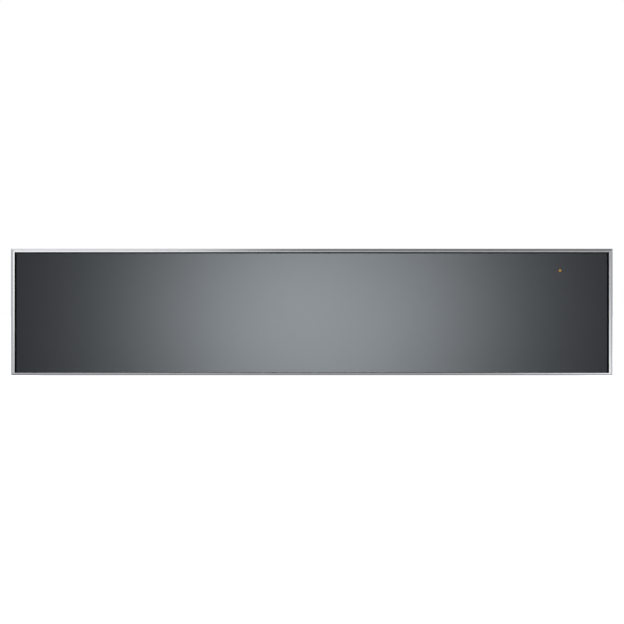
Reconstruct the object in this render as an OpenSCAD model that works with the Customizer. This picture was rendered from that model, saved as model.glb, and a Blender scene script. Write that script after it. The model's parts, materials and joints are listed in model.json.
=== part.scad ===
// Built-in warming drawer of the 60 cm class with a handleless push-to-open front.
// Millimetres: X to the right, Y to the back, Z up. The origin is the middle of the base.

/* [Front] */
// Width of the front over its frame
front_w = 594; // [560:1:900]
// Height of the front over its frame
front_h = 125; // [115:1:160]
// Thickness of the whole front
front_t = 20; // [18:0.5:30]
// Height of the front's lower edge above the plane the glides stand on
front_lift = 2.5; // [1:0.5:6]
// Face width of the frame's side bars
frame_side_w = 3.7; // [3:0.1:6]
// Face width of the frame's top bar
frame_top_w = 3.5; // [3:0.1:6]
// Face width of the frame's bottom bar
frame_bottom_w = 2.4; // [2.4:0.1:6]
// Part of each bar's face that the chamfer on its outer edge takes, so that the chamfers meet on the mitres
chamfer_part = 0.55; // [0.2:0.05:0.6]
// Depth of that chamfer
chamfer_d = 1; // [0.3:0.1:1.5]
// Thickness of the frame's outer wall
frame_wall = 1.5; // [1:0.1:2]
// Thickness of the frame's face lip
frame_lip_t = 2; // [1.6:0.1:2.4]
// Shadow gap between the top bar's lip and the panel
shadow_gap = 1.05; // [0.8:0.05:2.5]
// Shadow gap between a side bar's lip and the panel
side_gap = 1.95; // [0.8:0.05:2.5]
// Gap between the bottom bar's lip and the panel, which sits low in the frame
bottom_gap = 0.2; // [0.2:0.05:2.5]
// Thickness of the front panel
panel_t = 4; // [3:0.5:5]
// How far the panel lies behind the frame's face
panel_recess = 0.4; // [0:0.1:1]
// Thickness of the gasket behind the panel
gasket_t = 2; // [1.5:0.5:3]
// How far the gasket reaches under the panel
gasket_lap = 8; // [5:1:10]
// Thickness of the carrier plate
carrier_t = 1.2; // [0.8:0.1:2]

/* [Indicator] */
// Distance of the indicator from the front's right edge
indicator_inset = 52; // [47:1:150]
// Distance of the indicator below the front's top edge
indicator_drop = 21.6; // [20:0.1:40]
// Diameter of the indicator lens
lens_d = 3.5; // [2:0.1:6]

/* [Housing] */
// How far the front stands out past the housing on each side
side_reveal = 19; // [17:1:24]
// How far the front stands out above the housing
top_reveal = 9.5; // [6:0.5:14]
// Depth of the housing
case_d = 508; // [500:1:700]
// Thickness of the housing's sheet
sheet = 1; // [0.8:0.1:1.2]
// Width of the folded edges of the housing's sheets
fold_w = 12; // [9:1:16]
// Height of the glides
glide_h = 2.5; // [1.5:0.5:5]
// Diameter of the glides
glide_d = 30; // [16:1:40]
// Gap between the closed front and the surround, room for the push
push_gap = 4; // [3.8:0.1:8]
// Thickness of the surround's flange
flange_t = 1.5; // [1:0.1:2.5]
// How far the surround reaches past the housing on each side
flange_reach = 17.5; // [15:0.5:18]
// Diameter of the surround's holes for the cabinet screws
niche_hole_d = 4.5; // [3.5:0.1:5]
// Distance of those holes from the surround's outer edge
niche_hole_inset = 5; // [4:0.5:6]
// Distance between the lower and the upper one
niche_hole_pitch = 80; // [40:1:90]
// Free depth between the drawer and the housing's rear
rear_bay = 52; // [50:1:80]

/* [Slides] */
// Length of the slide's rails
rail_l = 450; // [420:10:480]
// Height of the outer rail
rail_h = 45; // [40:1:50]
// Thickness of the rails' sheet
rail_sheet = 1.2; // [0.8:0.1:1.2]
// Radius of the slide's balls
ball_r = 1.6; // [1.5:0.05:1.65]
// Length of the ball retainers
retainer_l = 130; // [100:5:150]
// Balls along each side of a retainer
ball_count = 5; // [3:1:8]
// How far the drawer opens
travel = 420; // [300:5:420]

/* [Drawer] */
// Thickness of the chassis sheet
chassis_sheet = 1; // [0.8:0.1:1.2]
// Thickness of the tray liner
liner_t = 0.8; // [0.6:0.1:1]
// Gap between the housing's base and the chassis
floor_gap = 3.5; // [2:0.5:6]
// Gap between the drawer's rim and the housing's top
top_gap = 5; // [3:0.5:8]
// Gap between the chassis wall and the tray
wall_gap = 12; // [8:1:20]
// Gap between the front and the tray
tray_front_gap = 8; // [6:1:16]
// Corner radius of the tray
tray_corner_r = 20; // [10:1:30]
// Depth of the blower compartment behind the tray
blower_d = 76; // [74:1:100]
// Thickness of the floor insulation
insulation_t = 12; // [6:1:14]
// Height of the heater space under the glass
heater_space = 9; // [8.5:0.5:12]
// Thickness of the glass heating plate
plate_t = 4; // [3:0.5:5]
// Width of the floor ledge around the glass plate
plate_ledge = 22; // [14:1:40]
// How far the glass plate lies over the floor's cut-out
plate_lap = 12; // [6:1:12]

/* [Heater and blower] */
// Diameter of the heater tube
heater_d = 6.5; // [5:0.5:7]
// Runs of the heater tube
heater_runs = 6; // [4:2:10]
// Radius of the fan wheel
wheel_r = 34; // [24:1:34]
// Width of the fan wheel
wheel_w = 20; // [12:1:22]
// Blades of the fan wheel
blade_count = 16; // [8:1:24]
// Radius of the motor
motor_r = 28; // [20:1:32]
// Radius of the fan shaft
shaft_r = 2.5; // [2:0.1:3]

/* [Controls] */
// Diameter of the temperature knob
knob_d = 26; // [20:1:30]
// Height of the temperature knob
knob_h = 11; // [8:0.5:12]
// Diameter of the power button
button_d = 13; // [10:0.5:16]
// Travel of the power button
button_travel = 2.5; // [1:0.5:3]
// How far the control panel lies below the drawer's rim
control_drop = 13; // [13:1:20]
// Width of the control panel
control_w = 110; // [90:1:130]
// Depth of the control panel
control_d = 38; // [34:1:50]

/* [Cable] */
// Bore of the cable gland
gland_bore_d = 8.4; // [6:0.1:10]
// How far the gland stands out behind the housing
gland_out = 16; // [12:1:24]
// Distance of the gland from the housing's right side
gland_inset = 68; // [53:1:88]

/* [Hidden] */
$fn = 64;

// Clearances
run_gap = 0.05;      // a shaft in its bearing, a ball in its race
guide_gap = 0.1;     // a button in its hole
seat_gap = 0.2;      // a piece laid into another
pass_gap = 0.5;      // the heater tube through the element tray
eps = 1;             // how far a cut runs past the face it opens

// Places along Y, from the front's face to the gland's end
y_face = -(front_t + push_gap + case_d + gland_out) / 2;
y_panel = y_face + panel_recess;
y_gasket = y_panel + panel_t;
y_carrier = y_gasket + gasket_t;
y_front_core = y_carrier + carrier_t;
y_front_back = y_face + front_t;
y_inner_panel = y_front_back - chassis_sheet;
y_flange = y_front_back + push_gap;
y_case = y_flange + flange_t;
y_case_back = y_flange + case_d;
y_case_in = y_case_back - sheet;
y_drawer_back = y_case_in - rear_bay;
y_tray = y_front_back + tray_front_gap;
y_tray_back = y_drawer_back - blower_d;

// Places along Z, from the counter to the front's top edge
z_front = front_lift;
z_front_top = z_front + front_h;
z_case = glide_h;
z_case_floor = z_case + sheet;
z_case_top = z_front_top - top_reveal;
z_case_roof = z_case_top - sheet;
z_chassis = z_case_floor + floor_gap;
z_insulation = z_chassis + chassis_sheet;
z_rim_top = z_case_roof - top_gap;
z_rim = z_rim_top - liner_t;
element_sheet = 0.8;
z_element = z_insulation + insulation_t;
z_heater = z_element + element_sheet;
z_tray_floor = z_heater + heater_space;
z_plate_seat = z_tray_floor + liner_t;
plate_gasket_t = 0.8;
z_plate = z_plate_seat + plate_gasket_t;
z_rail = (z_chassis + z_rim_top) / 2;

// Half widths
case_x = front_w / 2 - side_reveal;
rail_x = case_x - sheet;
rail_t = 12.7;
chassis_x = rail_x - rail_t;
tray_x = chassis_x - chassis_sheet - wall_gap;
front_x = front_w / 2;
flange_x = case_x + flange_reach;
core_x = front_x - frame_wall - seat_gap;
panel_x = front_x - frame_side_w - side_gap;

// Heights of what fills the frame
z_core = [z_front + frame_wall + seat_gap, z_front_top - frame_wall - seat_gap];
z_panel = [z_front + frame_bottom_w + bottom_gap, z_front_top - frame_top_w - shadow_gap];

// Slide section, measured from the housing's side (t) and from the rail's middle (z)
race_r = ball_r + run_gap;
race_depth = 0.6;
race_wall = 1.9;
outer_flange_z = rail_h / 2 - race_wall;
outer_ball_z = outer_flange_z + race_depth - race_r;
middle_flange_z = outer_ball_z - race_r + race_depth;
middle_in_z = middle_flange_z - race_wall;
inner_ball_z = middle_in_z + race_depth - race_r;
inner_flange_z = inner_ball_z - race_r + race_depth;
retainer_t = 0.8;
web_gap = 0.4;
outer_retainer_t = rail_sheet + web_gap;
middle_t = outer_retainer_t + retainer_t + web_gap;
inner_retainer_t = middle_t + rail_sheet + web_gap;
inner_flange_t = inner_retainer_t + retainer_t + 2 * web_gap;
outer_ball_t = middle_t + ball_r + 1;
inner_ball_t = outer_ball_t + 2 * ball_r - 0.2;
flange_past_ball = 1.6;
y_rail = y_case + 3;
y_rail_end = y_rail + rail_l;
y_retainer = y_rail + travel / 4 + 10;
ball_inset = 8;
rivet_inset = 40;
rivet_y = [y_rail + rivet_inset, (y_rail + y_rail_end) / 2, y_rail_end - rivet_inset];
rivet_r = 2.2;

// Screws
screw_r = 1.9;
screw_head_r = 3.6;
screw_head_h = 1.2;
screw_hex_r = 1.4;
case_screw_inset = 30;

// Heater
heater_r = heater_d / 2;
heater_flat = 0.5;
cutout_x = tray_x - liner_t - plate_ledge;
cutout_y = [y_tray + liner_t + plate_ledge, y_tray_back - liner_t - plate_ledge];
heater_inset = 26;
heater_pitch = (cutout_y[1] - cutout_y[0] - 2 * heater_inset) / (heater_runs - 1);
heater_x = cutout_x - heater_inset - heater_pitch / 2;
heater_tail = 12;
element_margin = 6;

// Air slots: one punch for the sheets, a narrower one for the housing's sides
vent_w = 4;
vent_l = 40;
vent_pitch = 12;
side_vent_w = 3;
side_vent_pitch = 6;
side_vent_start = 12;
outlet_w = 4;
outlet_l = 30;
outlet_pitch = 10;
outlet_inset = 100;

// Blower
y_blower = (y_tray_back + y_drawer_back) / 2;
z_fan = z_rim - wheel_r - 5;
wheel_gap = 4;
y_wheel = y_tray_back + wheel_gap;
y_motor = y_wheel + wheel_w + wheel_gap;
motor_l = 30;
motor_lug_t = 3;
motor_post_r = 3;
motor_post_x = max(wheel_r, motor_r) + motor_post_r + 5;
intake_r = wheel_r - 6;
grille_t = 1.5;
grille_r = intake_r + 9;

// Controls
control_wall = 2;
control_h = 36;
control_x = [tray_x - liner_t - tray_corner_r - 2 - control_w, tray_x - liner_t - tray_corner_r - 2];
y_control = [y_tray + liner_t, y_tray + liner_t + control_d];
z_control = z_rim_top - control_drop;
knob_x = control_x[1] - 28;
button_x = control_x[0] + 30;
y_knob = (y_control[0] + y_control[1]) / 2;
knob_gap = 0.6;
button_flange_t = 1.6;
button_flange_r = button_d / 2 + 2;
button_out = 3.5;

// Latch and the room behind the drawer
push_in = 3;
latch_x = 0;
z_latch = z_rim_top - 26;
striker_t = 2;
buffer_t = 5;
buffer_r = 7;
touch_gap = 0.2;
plunger_r = 5;
plunger_l = 24;
y_tip = y_drawer_back + striker_t + buffer_t + touch_gap;
y_latch = y_tip + push_in + 0.8;
spring_l = 10;
bumper_h = push_gap - push_in - 0.1;
bumper_r = 4;

// Cable, terminals and the lead to the drawer
gland_x = case_x - gland_inset;
z_gland = z_case_floor + 28.5;
gland_thread_r = gland_bore_d / 2 + 3;
gland_in = 10;
cover_w = 80;
cover_d = 34;
cover_z = [z_case_floor + 12.5, z_case_floor + 74.5];
cover_wall = 1.5;
cover_x = [gland_x - cover_w / 2, gland_x + cover_w / 2];
block_w = 48;
block_d = 18;
block_z = [z_case_floor + 48.5, z_case_floor + 64.5];
block_poles = 4;
lead_r = 3;
lead_z = 46;
lead_depth = 14;
lead_bend = 11.5;
lead_bend_steps = 6;
// The lead's corners: out of the terminal cover, a flat loop behind the drawer, into the rear cover
lead_route = [[176, 243], [-170, 243], [-170, 219], [-40, 219], [-40, 199]];

// Colours
steel = [0.72, 0.73, 0.75];
galvanised = [0.62, 0.64, 0.66];
bright = [0.82, 0.83, 0.85];
anthracite = [0.36, 0.38, 0.40];
black = [0.08, 0.08, 0.09];
mineral = [0.80, 0.77, 0.70];
amber = [0.90, 0.55, 0.15];

// A block between two opposite corners
module block(a, b) {
  translate(a) cube(b - a);
}

// A section drawn in X and Z, run from y0 to y1
module along_y(y0, y1) {
  translate([0, y1, 0]) rotate([90, 0, 0]) linear_extrude(y1 - y0) children();
}

// A section drawn in Y and Z, run from x0 to x1
module along_x(x0, x1) {
  translate([x0, 0, 0]) rotate([90, 0, 90]) linear_extrude(x1 - x0) children();
}

// An outline drawn in X and Y, run from z0 to z1
module along_z(z0, z1) {
  translate([0, 0, z0]) linear_extrude(z1 - z0) children();
}

// Round rods along each axis; at holds the two other coordinates
module rod_x(r, x0, x1, at) {
  translate([x0, at[0], at[1]]) rotate([0, 90, 0]) cylinder(h = x1 - x0, r = r);
}

module rod_y(r, y0, y1, at) {
  translate([at[0], y0, at[1]]) rotate([-90, 0, 0]) cylinder(h = y1 - y0, r = r);
}

module rod_z(r, z0, z1, at) {
  translate([at[0], at[1], z0]) cylinder(h = z1 - z0, r = r);
}

// Draws its children on the left, or mirrored on the right
module on_side(side) {
  if (side < 0) children();
  else mirror([1, 0, 0]) children();
}

// A rectangle with round corners, between two corners
module round_rect(a, b, r) {
  translate([a[0] + r, a[1]]) square([b[0] - a[0] - 2 * r, b[1] - a[1]]);
  translate([a[0], a[1] + r]) square([b[0] - a[0], b[1] - a[1] - 2 * r]);
  for (x = [a[0] + r, b[0] - r], y = [a[1] + r, b[1] - r]) translate([x, y]) circle(r);
}

// An upright slot with round ends, centred
module slot(w, l) {
  square([w, l - w], center = true);
  for (s = [-1, 1]) translate([0, s * (l - w) / 2]) circle(w / 2);
}

// A centred row of such slots along X
module slot_row(count, pitch, w, l) {
  for (i = [0 : count - 1]) translate([(i - (count - 1) / 2) * pitch, 0]) slot(w, l);
}

// A row of the sheets' air slots
module vents(count) {
  slot_row(count, vent_pitch, vent_w, vent_l);
}

// A pan-head screw along Z, its head's underside at zero
module screw(length) {
  difference() {
    union() {
      cylinder(h = screw_head_h, r = screw_head_r);
      translate([0, 0, -length]) cylinder(h = length, r = screw_r);
    }
    translate([0, 0, screw_head_h - 0.8]) cylinder(h = eps, r = screw_hex_r, $fn = 6);
  }
}

// ---- Housing ----

// Places of the screws that hold the housing together, on one side: [y, z]
case_screw_at = [
  for (y = [y_case + case_screw_inset, (y_case + y_case_back) / 2, y_case_back - case_screw_inset])
    for (z = [z_case_floor + fold_w / 2, z_case_roof - fold_w / 2]) [y, z]
];

module case_screw_holes(side) {
  for (p = case_screw_at) rod_x(screw_r, side * case_x - 2 * sheet - eps, side * case_x + 2 * sheet + eps, p);
}

module case_base() {
  color(galvanised) difference() {
    union() {
      block([-rail_x, y_case, z_case], [rail_x, y_case_in, z_case_floor]);
      for (s = [-1, 1]) {
        translate([s * (rail_x - sheet / 2), 0, 0])
          block([-sheet / 2, y_case, z_case], [sheet / 2, y_case_in - fold_w, z_case_floor + fold_w]);
      }
    }
    for (s = [-1, 1]) case_screw_holes(s);
    // air slots under the blower compartment
    for (s = [-1, 1]) {
      translate([s * case_x / 2, y_blower, 0]) along_z(z_case - eps, z_case_floor + eps) vents(9);
    }
  }
}

module case_side(side) {
  front_fold = 9;
  color(galvanised) on_side(side) difference() {
    union() {
      block([-case_x, y_case, z_case], [-rail_x, y_case_back, z_case_top]);
      block([-case_x - front_fold, y_case, z_case], [-case_x + sheet / 2, y_case + sheet, z_case_top]);
    }
    case_screw_holes(-1);
    for (y = rivet_y) rod_x(rivet_r, -case_x - eps, -rail_x + eps, [y, z_rail]);
    for (z = rear_screw_z) rod_x(screw_r, -case_x - eps, -rail_x + eps, [y_case_in - fold_w / 2, z]);
    // air slots beside the blower compartment
    for (i = [0 : 5]) {
      translate([0, y_rail_end + side_vent_start + i * side_vent_pitch, 0])
        along_x(-case_x - eps, -rail_x + eps) translate([0, z_rail]) slot(side_vent_w, vent_l);
    }
  }
}

// Heights of the screws through the rear panel's folded edges
rear_screw_z = [z_case_floor + 30, z_case_roof - 30];

module case_rear() {
  gland_hole_r = gland_thread_r + 0.1;
  color(galvanised) difference() {
    union() {
      block([-rail_x, y_case_in, z_case_floor], [rail_x, y_case_back, z_case_roof]);
      for (s = [-1, 1]) {
        translate([s * (rail_x - sheet / 2), 0, 0])
          block([-sheet / 2, y_case_in - fold_w, z_case_floor + fold_w + 4],
                [sheet / 2, y_case_in + sheet / 2, z_case_roof - fold_w - 4]);
      }
    }
    rod_y(gland_hole_r, y_case_in - eps, y_case_back + eps, [gland_x, z_gland]);
    for (s = [-1, 1], z = rear_screw_z)
      rod_x(screw_r, s * rail_x - 2 * sheet, s * rail_x + 2 * sheet, [y_case_in - fold_w / 2, z]);
    // vents on the left, and on the right beside the terminal cover
    for (x = [-case_x / 2, cover_x[0] - 60]) {
      translate([x, 0, 0]) along_y(y_case_in - eps, y_case_back + eps)
        translate([0, z_rail + vent_pitch]) vents(9);
    }
  }
}

module case_top() {
  color(galvanised) difference() {
    union() {
      block([-rail_x, y_case, z_case_roof], [rail_x, y_case_back, z_case_top]);
      for (s = [-1, 1]) {
        translate([s * (rail_x - sheet / 2), 0, 0])
          block([-sheet / 2, y_case, z_case_roof - fold_w], [sheet / 2, y_case_in - fold_w, z_case_top]);
      }
    }
    for (s = [-1, 1]) case_screw_holes(s);
    // louvres above the blower compartment
    for (s = [-1, 1]) {
      translate([s * case_x / 2, y_blower, 0]) along_z(z_case_roof - eps, z_case_top + eps) vents(13);
    }
  }
}

// Places of the holes for the cabinet's screws: [x, z]
niche_hole_at = [
  for (s = [-1, 1]) for (t = [-1, 1])
    [s * (flange_x - niche_hole_inset), z_rail + t * niche_hole_pitch / 2]
];

module front_surround() {
  color(steel) difference() {
    along_y(y_flange, y_case) difference() {
      translate([-flange_x, z_case]) square([2 * flange_x, z_case_top + top_reveal / 2 - z_case]);
      translate([-rail_x, z_case - eps]) square([2 * rail_x, z_case_roof - z_case + eps]);
    }
    for (p = niche_hole_at) rod_y(niche_hole_d / 2, y_flange - eps, y_case + eps, p);
  }
}

module base_glides() {
  glide_inset = 40;
  // the front glides stand back under the base, out of sight behind the front
  glide_setback = 85;
  color(black) {
    for (x = [-1, 1] * (case_x - glide_inset), y = [y_case + glide_setback, y_case_back - glide_inset])
      rod_z(glide_d / 2, 0, z_case, [x, y]);
  }
}

module flange_bumpers() {
  for (s = [-1, 1]) {
    color(black) rod_y(bumper_r, y_flange - bumper_h, y_flange, [s * (rail_x + flange_x) / 2, z_rail]);
  }
}

module case_screws() {
  color(bright) {
    for (s = [-1, 1], p = case_screw_at)
      translate([s * case_x, p[0], p[1]]) rotate([0, s * 90, 0]) screw(3 * sheet);
    for (s = [-1, 1], z = rear_screw_z)
      translate([s * case_x, y_case_in - fold_w / 2, z]) rotate([0, s * 90, 0]) screw(3 * sheet);
  }
}

module cable_gland() {
  nut_r = gland_thread_r + 4;
  nut_t = 4;
  hex_h = 6;
  color(black) difference() {
    union() {
      rod_y(gland_thread_r, y_case_in - gland_in, y_case_back + eps, [gland_x, z_gland]);
      // lock nut inside, hexagon and dome outside
      translate([gland_x, y_case_in - nut_t, z_gland]) rotate([-90, 0, 0])
        cylinder(h = nut_t, r = nut_r, $fn = 6);
      translate([gland_x, y_case_back, z_gland]) rotate([-90, 0, 0]) cylinder(h = hex_h, r = nut_r, $fn = 6);
      rod_y(gland_thread_r + 1.5, y_case_back, y_case_back + gland_out, [gland_x, z_gland]);
    }
    rod_y(gland_bore_d / 2, y_case_in - gland_in - eps, y_case_back + gland_out + eps, [gland_x, z_gland]);
  }
}

module terminal_block() {
  pole_w = block_w / block_poles;
  wire_r = 1.8;
  clamp_r = 2.4;
  y_front = y_case_in - block_d;
  color([0.90, 0.89, 0.85]) difference() {
    block([gland_x - block_w / 2, y_front, block_z[0]], [gland_x + block_w / 2, y_case_in, block_z[1]]);
    // a clamp screw's well from the front and a wire's hole from below, for each pole
    for (i = [0 : block_poles - 1]) {
      x = gland_x + (i + 0.5) * pole_w - block_w / 2;
      rod_y(clamp_r, y_front - eps, y_case_in - 8, [x, block_z[1] - 5]);
      rod_z(wire_r, block_z[0] - eps, block_z[0] + 8, [x, y_front + 5]);
    }
  }
}

module terminal_cover() {
  color([0.20, 0.20, 0.21]) difference() {
    block([cover_x[0], y_case_in - cover_d, cover_z[0]], [cover_x[1], y_case_in, cover_z[1]]);
    block([cover_x[0] + cover_wall, y_case_in - cover_d + cover_wall, cover_z[0] + cover_wall],
          [cover_x[1] - cover_wall, y_case_in + eps, cover_z[1] - cover_wall]);
    rod_x(lead_r + seat_gap, cover_x[0] - eps, cover_x[0] + cover_wall + eps, [y_case_in - lead_depth, lead_z]);
  }
}

// ---- Slides ----

// Draws a rail's section from the side (t, z) in its place on the left
module rail_run(y0, y1) {
  along_y(y0, y1) translate([-rail_x, z_rail]) children();
}

// A pair of flanges from t0 to t1, above and below the rail's middle, between the heights z0 and z1
module flanges(t0, t1, z0, z1) {
  translate([t0, z0]) square([t1 - t0, z1 - z0]);
  translate([t0, -z1]) square([t1 - t0, z1 - z0]);
}

// The ball grooves of a pair of flanges
module races(t, z) {
  for (s = [-1, 1]) translate([t, s * z]) circle(race_r);
}

// A rail's web of sheet from t0 on, and half as high as z
module web(t0, z) {
  translate([t0, -z]) square([rail_sheet, 2 * z]);
}

module outer_rail(side) {
  color(bright) on_side(side) difference() {
    rail_run(y_rail, y_rail_end) difference() {
      union() {
        web(0, rail_h / 2);
        flanges(0, outer_ball_t + flange_past_ball, outer_flange_z, rail_h / 2);
      }
      races(outer_ball_t, outer_ball_z);
    }
    for (y = rivet_y) rod_x(rivet_r, -rail_x - eps, -rail_x + rail_sheet + eps, [y, z_rail]);
  }
}

module middle_rail(side) {
  color(steel) on_side(side) rail_run(y_rail, y_rail_end) difference() {
    union() {
      web(middle_t, middle_flange_z);
      flanges(middle_t, inner_ball_t + flange_past_ball, middle_in_z, middle_flange_z);
    }
    races(outer_ball_t, outer_ball_z);
    races(inner_ball_t, inner_ball_z);
  }
}

module inner_rail(side) {
  color(bright) on_side(side) difference() {
    rail_run(y_rail, y_rail_end) difference() {
      union() {
        web(rail_t - rail_sheet, inner_flange_z);
        flanges(inner_flange_t, rail_t, inner_flange_z - race_wall, inner_flange_z);
      }
      races(inner_ball_t, inner_ball_z);
    }
    for (y = rivet_y) rod_x(screw_r, -chassis_x - rail_sheet - eps, -chassis_x + eps, [y, z_rail]);
  }
}

// A retainer strip folded to a channel, with its balls. Its web starts at web_t, its balls' centres
// lie at ball_t from the housing's side, and ball_z above and below the rail's middle
module retainer(side, web_t, ball_t, ball_z) {
  ball_pitch = (retainer_l - 2 * ball_inset) / (ball_count - 1);
  ball_y = [for (i = [0 : ball_count - 1]) y_retainer + ball_inset + i * ball_pitch];
  on_side(side) {
    color(steel) difference() {
      rail_run(y_retainer, y_retainer + retainer_l) {
        translate([web_t, -ball_z]) square([retainer_t, 2 * ball_z]);
        flanges(web_t, ball_t + ball_r + 0.6, ball_z - retainer_t / 2, ball_z + retainer_t / 2);
      }
      for (y = ball_y, s = [-1, 1]) {
        z = z_rail + s * ball_z;
        rod_z(ball_r + run_gap, z - retainer_t, z + retainer_t, [-rail_x + ball_t, y]);
      }
    }
    for (y = ball_y, s = [-1, 1]) {
      color(bright) translate([-rail_x + ball_t, y, z_rail + s * ball_z]) sphere(ball_r);
    }
  }
}

module rail_rivets() {
  color(bright) for (s = [-1, 1], y = rivet_y) {
    rod_x(rivet_r, min(s * case_x, s * (rail_x - rail_sheet)), max(s * case_x, s * (rail_x - rail_sheet)),
          [y, z_rail]);
    rod_x(rivet_r + 1.6, min(s * case_x, s * (case_x + 1)), max(s * case_x, s * (case_x + 1)), [y, z_rail]);
  }
}

// ---- Push-to-open latch ----

module latch_body() {
  half = 12;
  color(black) difference() {
    block([latch_x - half, y_latch, z_latch - half], [latch_x + half, y_case_in, z_latch + half]);
    rod_y(plunger_r + run_gap, y_latch - eps, y_tip + plunger_l + spring_l, [latch_x, z_latch]);
  }
}

module latch_plunger() {
  color([0.85, 0.85, 0.83]) rod_y(plunger_r, y_tip, y_tip + plunger_l, [latch_x, z_latch]);
}

module latch_spring() {
  color(bright) difference() {
    rod_y(plunger_r - 1, y_tip + plunger_l, y_tip + plunger_l + spring_l, [latch_x, z_latch]);
    rod_y(plunger_r - 2, y_tip + plunger_l - eps, y_tip + plunger_l + spring_l + eps, [latch_x, z_latch]);
  }
}

module latch_striker() {
  half = 15;
  color(bright) difference() {
    block([latch_x - half, y_drawer_back, z_latch - half],
          [latch_x + half, y_drawer_back + striker_t, z_latch + half]);
    for (s = [-1, 1])
      rod_y(screw_r, y_drawer_back - eps, y_drawer_back + striker_t + eps, striker_screw_at(s));
  }
}

// Place of a striker screw: [x, z]
function striker_screw_at(s) = [latch_x + s * 10, z_latch + s * 10];

module striker_buffer() {
  y0 = y_drawer_back + striker_t;
  color(black) rod_y(buffer_r, y0, y0 + buffer_t, [latch_x, z_latch]);
}

// ---- Front ----

module frame_solid() {
  // where the chamfers end on the frame's face
  x_flat = front_x - frame_side_w * chamfer_part;
  z_flat = [z_front + frame_bottom_w * chamfer_part, z_front_top - frame_top_w * chamfer_part];
  difference() {
    intersection() {
      // chamfered along the top and bottom edges
      along_x(-front_x, front_x) polygon([[y_face, z_flat[0]], [y_face + chamfer_d, z_front],
        [y_front_back, z_front], [y_front_back, z_front_top], [y_face + chamfer_d, z_front_top],
        [y_face, z_flat[1]]]);
      // chamfered along the left and right edges
      along_z(z_front, z_front_top) polygon([[-x_flat, y_face], [x_flat, y_face],
        [front_x, y_face + chamfer_d], [front_x, y_front_back], [-front_x, y_front_back],
        [-front_x, y_face + chamfer_d]]);
    }
    block([-front_x + frame_side_w, y_face - eps, z_front + frame_bottom_w],
          [front_x - frame_side_w, y_face + frame_lip_t + eps, z_front_top - frame_top_w]);
    block([-front_x + frame_wall, y_face + frame_lip_t, z_front + frame_wall],
          [front_x - frame_wall, y_front_back + eps, z_front_top - frame_wall]);
  }
}

// Corner of the front moved inwards by k frame widths; sx and top choose the corner
function mitre_point(sx, top, k) =
  [sx * (front_x - k * frame_side_w), top ? z_front_top - k * frame_top_w : z_front + k * frame_bottom_w];

// The part of the frame between the mitre lines through two neighbouring corners
module frame_bar(sx0, top0, sx1, top1) {
  color(bright) intersection() {
    frame_solid();
    along_y(y_face - eps, y_front_back + eps) polygon([mitre_point(sx0, top0, -0.5),
      mitre_point(sx1, top1, -0.5), mitre_point(sx1, top1, 1.5), mitre_point(sx0, top0, 1.5)]);
  }
}

module front_panel() {
  color(anthracite) difference() {
    block([-panel_x, y_panel, z_panel[0]], [panel_x, y_gasket, z_panel[1]]);
    rod_y(lens_d / 2 + run_gap, y_panel - eps, y_gasket + eps, indicator_at);
  }
}

// Place of the indicator: [x, z]
indicator_at = [front_x - indicator_inset, z_front_top - indicator_drop];

module front_gasket() {
  color(black) difference() {
    block([-core_x, y_face + frame_lip_t, z_core[0]], [core_x, y_carrier, z_core[1]]);
    block([-panel_x, y_face, z_panel[0]], [panel_x, y_gasket, z_panel[1]]);
    block([-panel_x + gasket_lap, y_face, z_panel[0] + gasket_lap],
          [panel_x - gasket_lap, y_carrier + eps, z_panel[1] - gasket_lap]);
  }
}

module front_carrier() {
  color(galvanised) difference() {
    block([-core_x, y_carrier, z_core[0]], [core_x, y_inner_panel, z_core[1]]);
    block([-core_x + carrier_t, y_front_core, z_core[0] + carrier_t],
          [core_x - carrier_t, y_inner_panel + eps, z_core[1] - carrier_t]);
    rod_y(led_r + seat_gap, y_carrier - eps, y_front_core + eps, indicator_at);
  }
}

led_r = 2.2;
led_l = 5;
board_t = 1.6;
y_board = y_carrier + led_l;
board_half = [14, 8];

module front_insulation() {
  margin = carrier_t + seat_gap;
  color(mineral) difference() {
    block([-core_x + margin, y_front_core, z_core[0] + margin],
          [core_x - margin, y_inner_panel, z_core[1] - margin]);
    // pocket for the indicator board
    block([indicator_at[0] - board_half[0] - 2, y_front_core - eps, indicator_at[1] - board_half[1] - 2],
          [indicator_at[0] + board_half[0] + 2, y_board + board_t, indicator_at[1] + board_half[1] + 2]);
  }
}

// Places of the screws between the chassis and the inner panel: [x, z]
front_screw_at = [
  for (s = [-1, 1]) for (z = [z_element + screw_head_r + 1, z_rail, z_rim - 15]) [s * (chassis_x - 7.5), z]
];

module front_inner_panel() {
  color(steel) difference() {
    block([-core_x, y_inner_panel, z_core[0]], [core_x, y_front_back, z_core[1]]);
    for (p = front_screw_at) rod_y(screw_r, y_inner_panel - eps, y_front_back + eps, p);
  }
}

module indicator_lens() {
  color(amber) {
    rod_y(lens_d / 2, y_panel, y_gasket, indicator_at);
    rod_y(lens_d / 2 + 1, y_gasket, y_gasket + 0.8, indicator_at);
  }
}

module indicator_led() {
  color(amber) {
    rod_y(led_r - 0.5, y_carrier + seat_gap, y_board - 1, indicator_at);
    rod_y(led_r, y_board - 1, y_board, indicator_at);
  }
}

module indicator_board() {
  color([0.10, 0.35, 0.20])
    block([indicator_at[0] - board_half[0], y_board, indicator_at[1] - board_half[1]],
          [indicator_at[0] + board_half[0], y_board + board_t, indicator_at[1] + board_half[1]]);
}

// ---- Drawer ----

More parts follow.
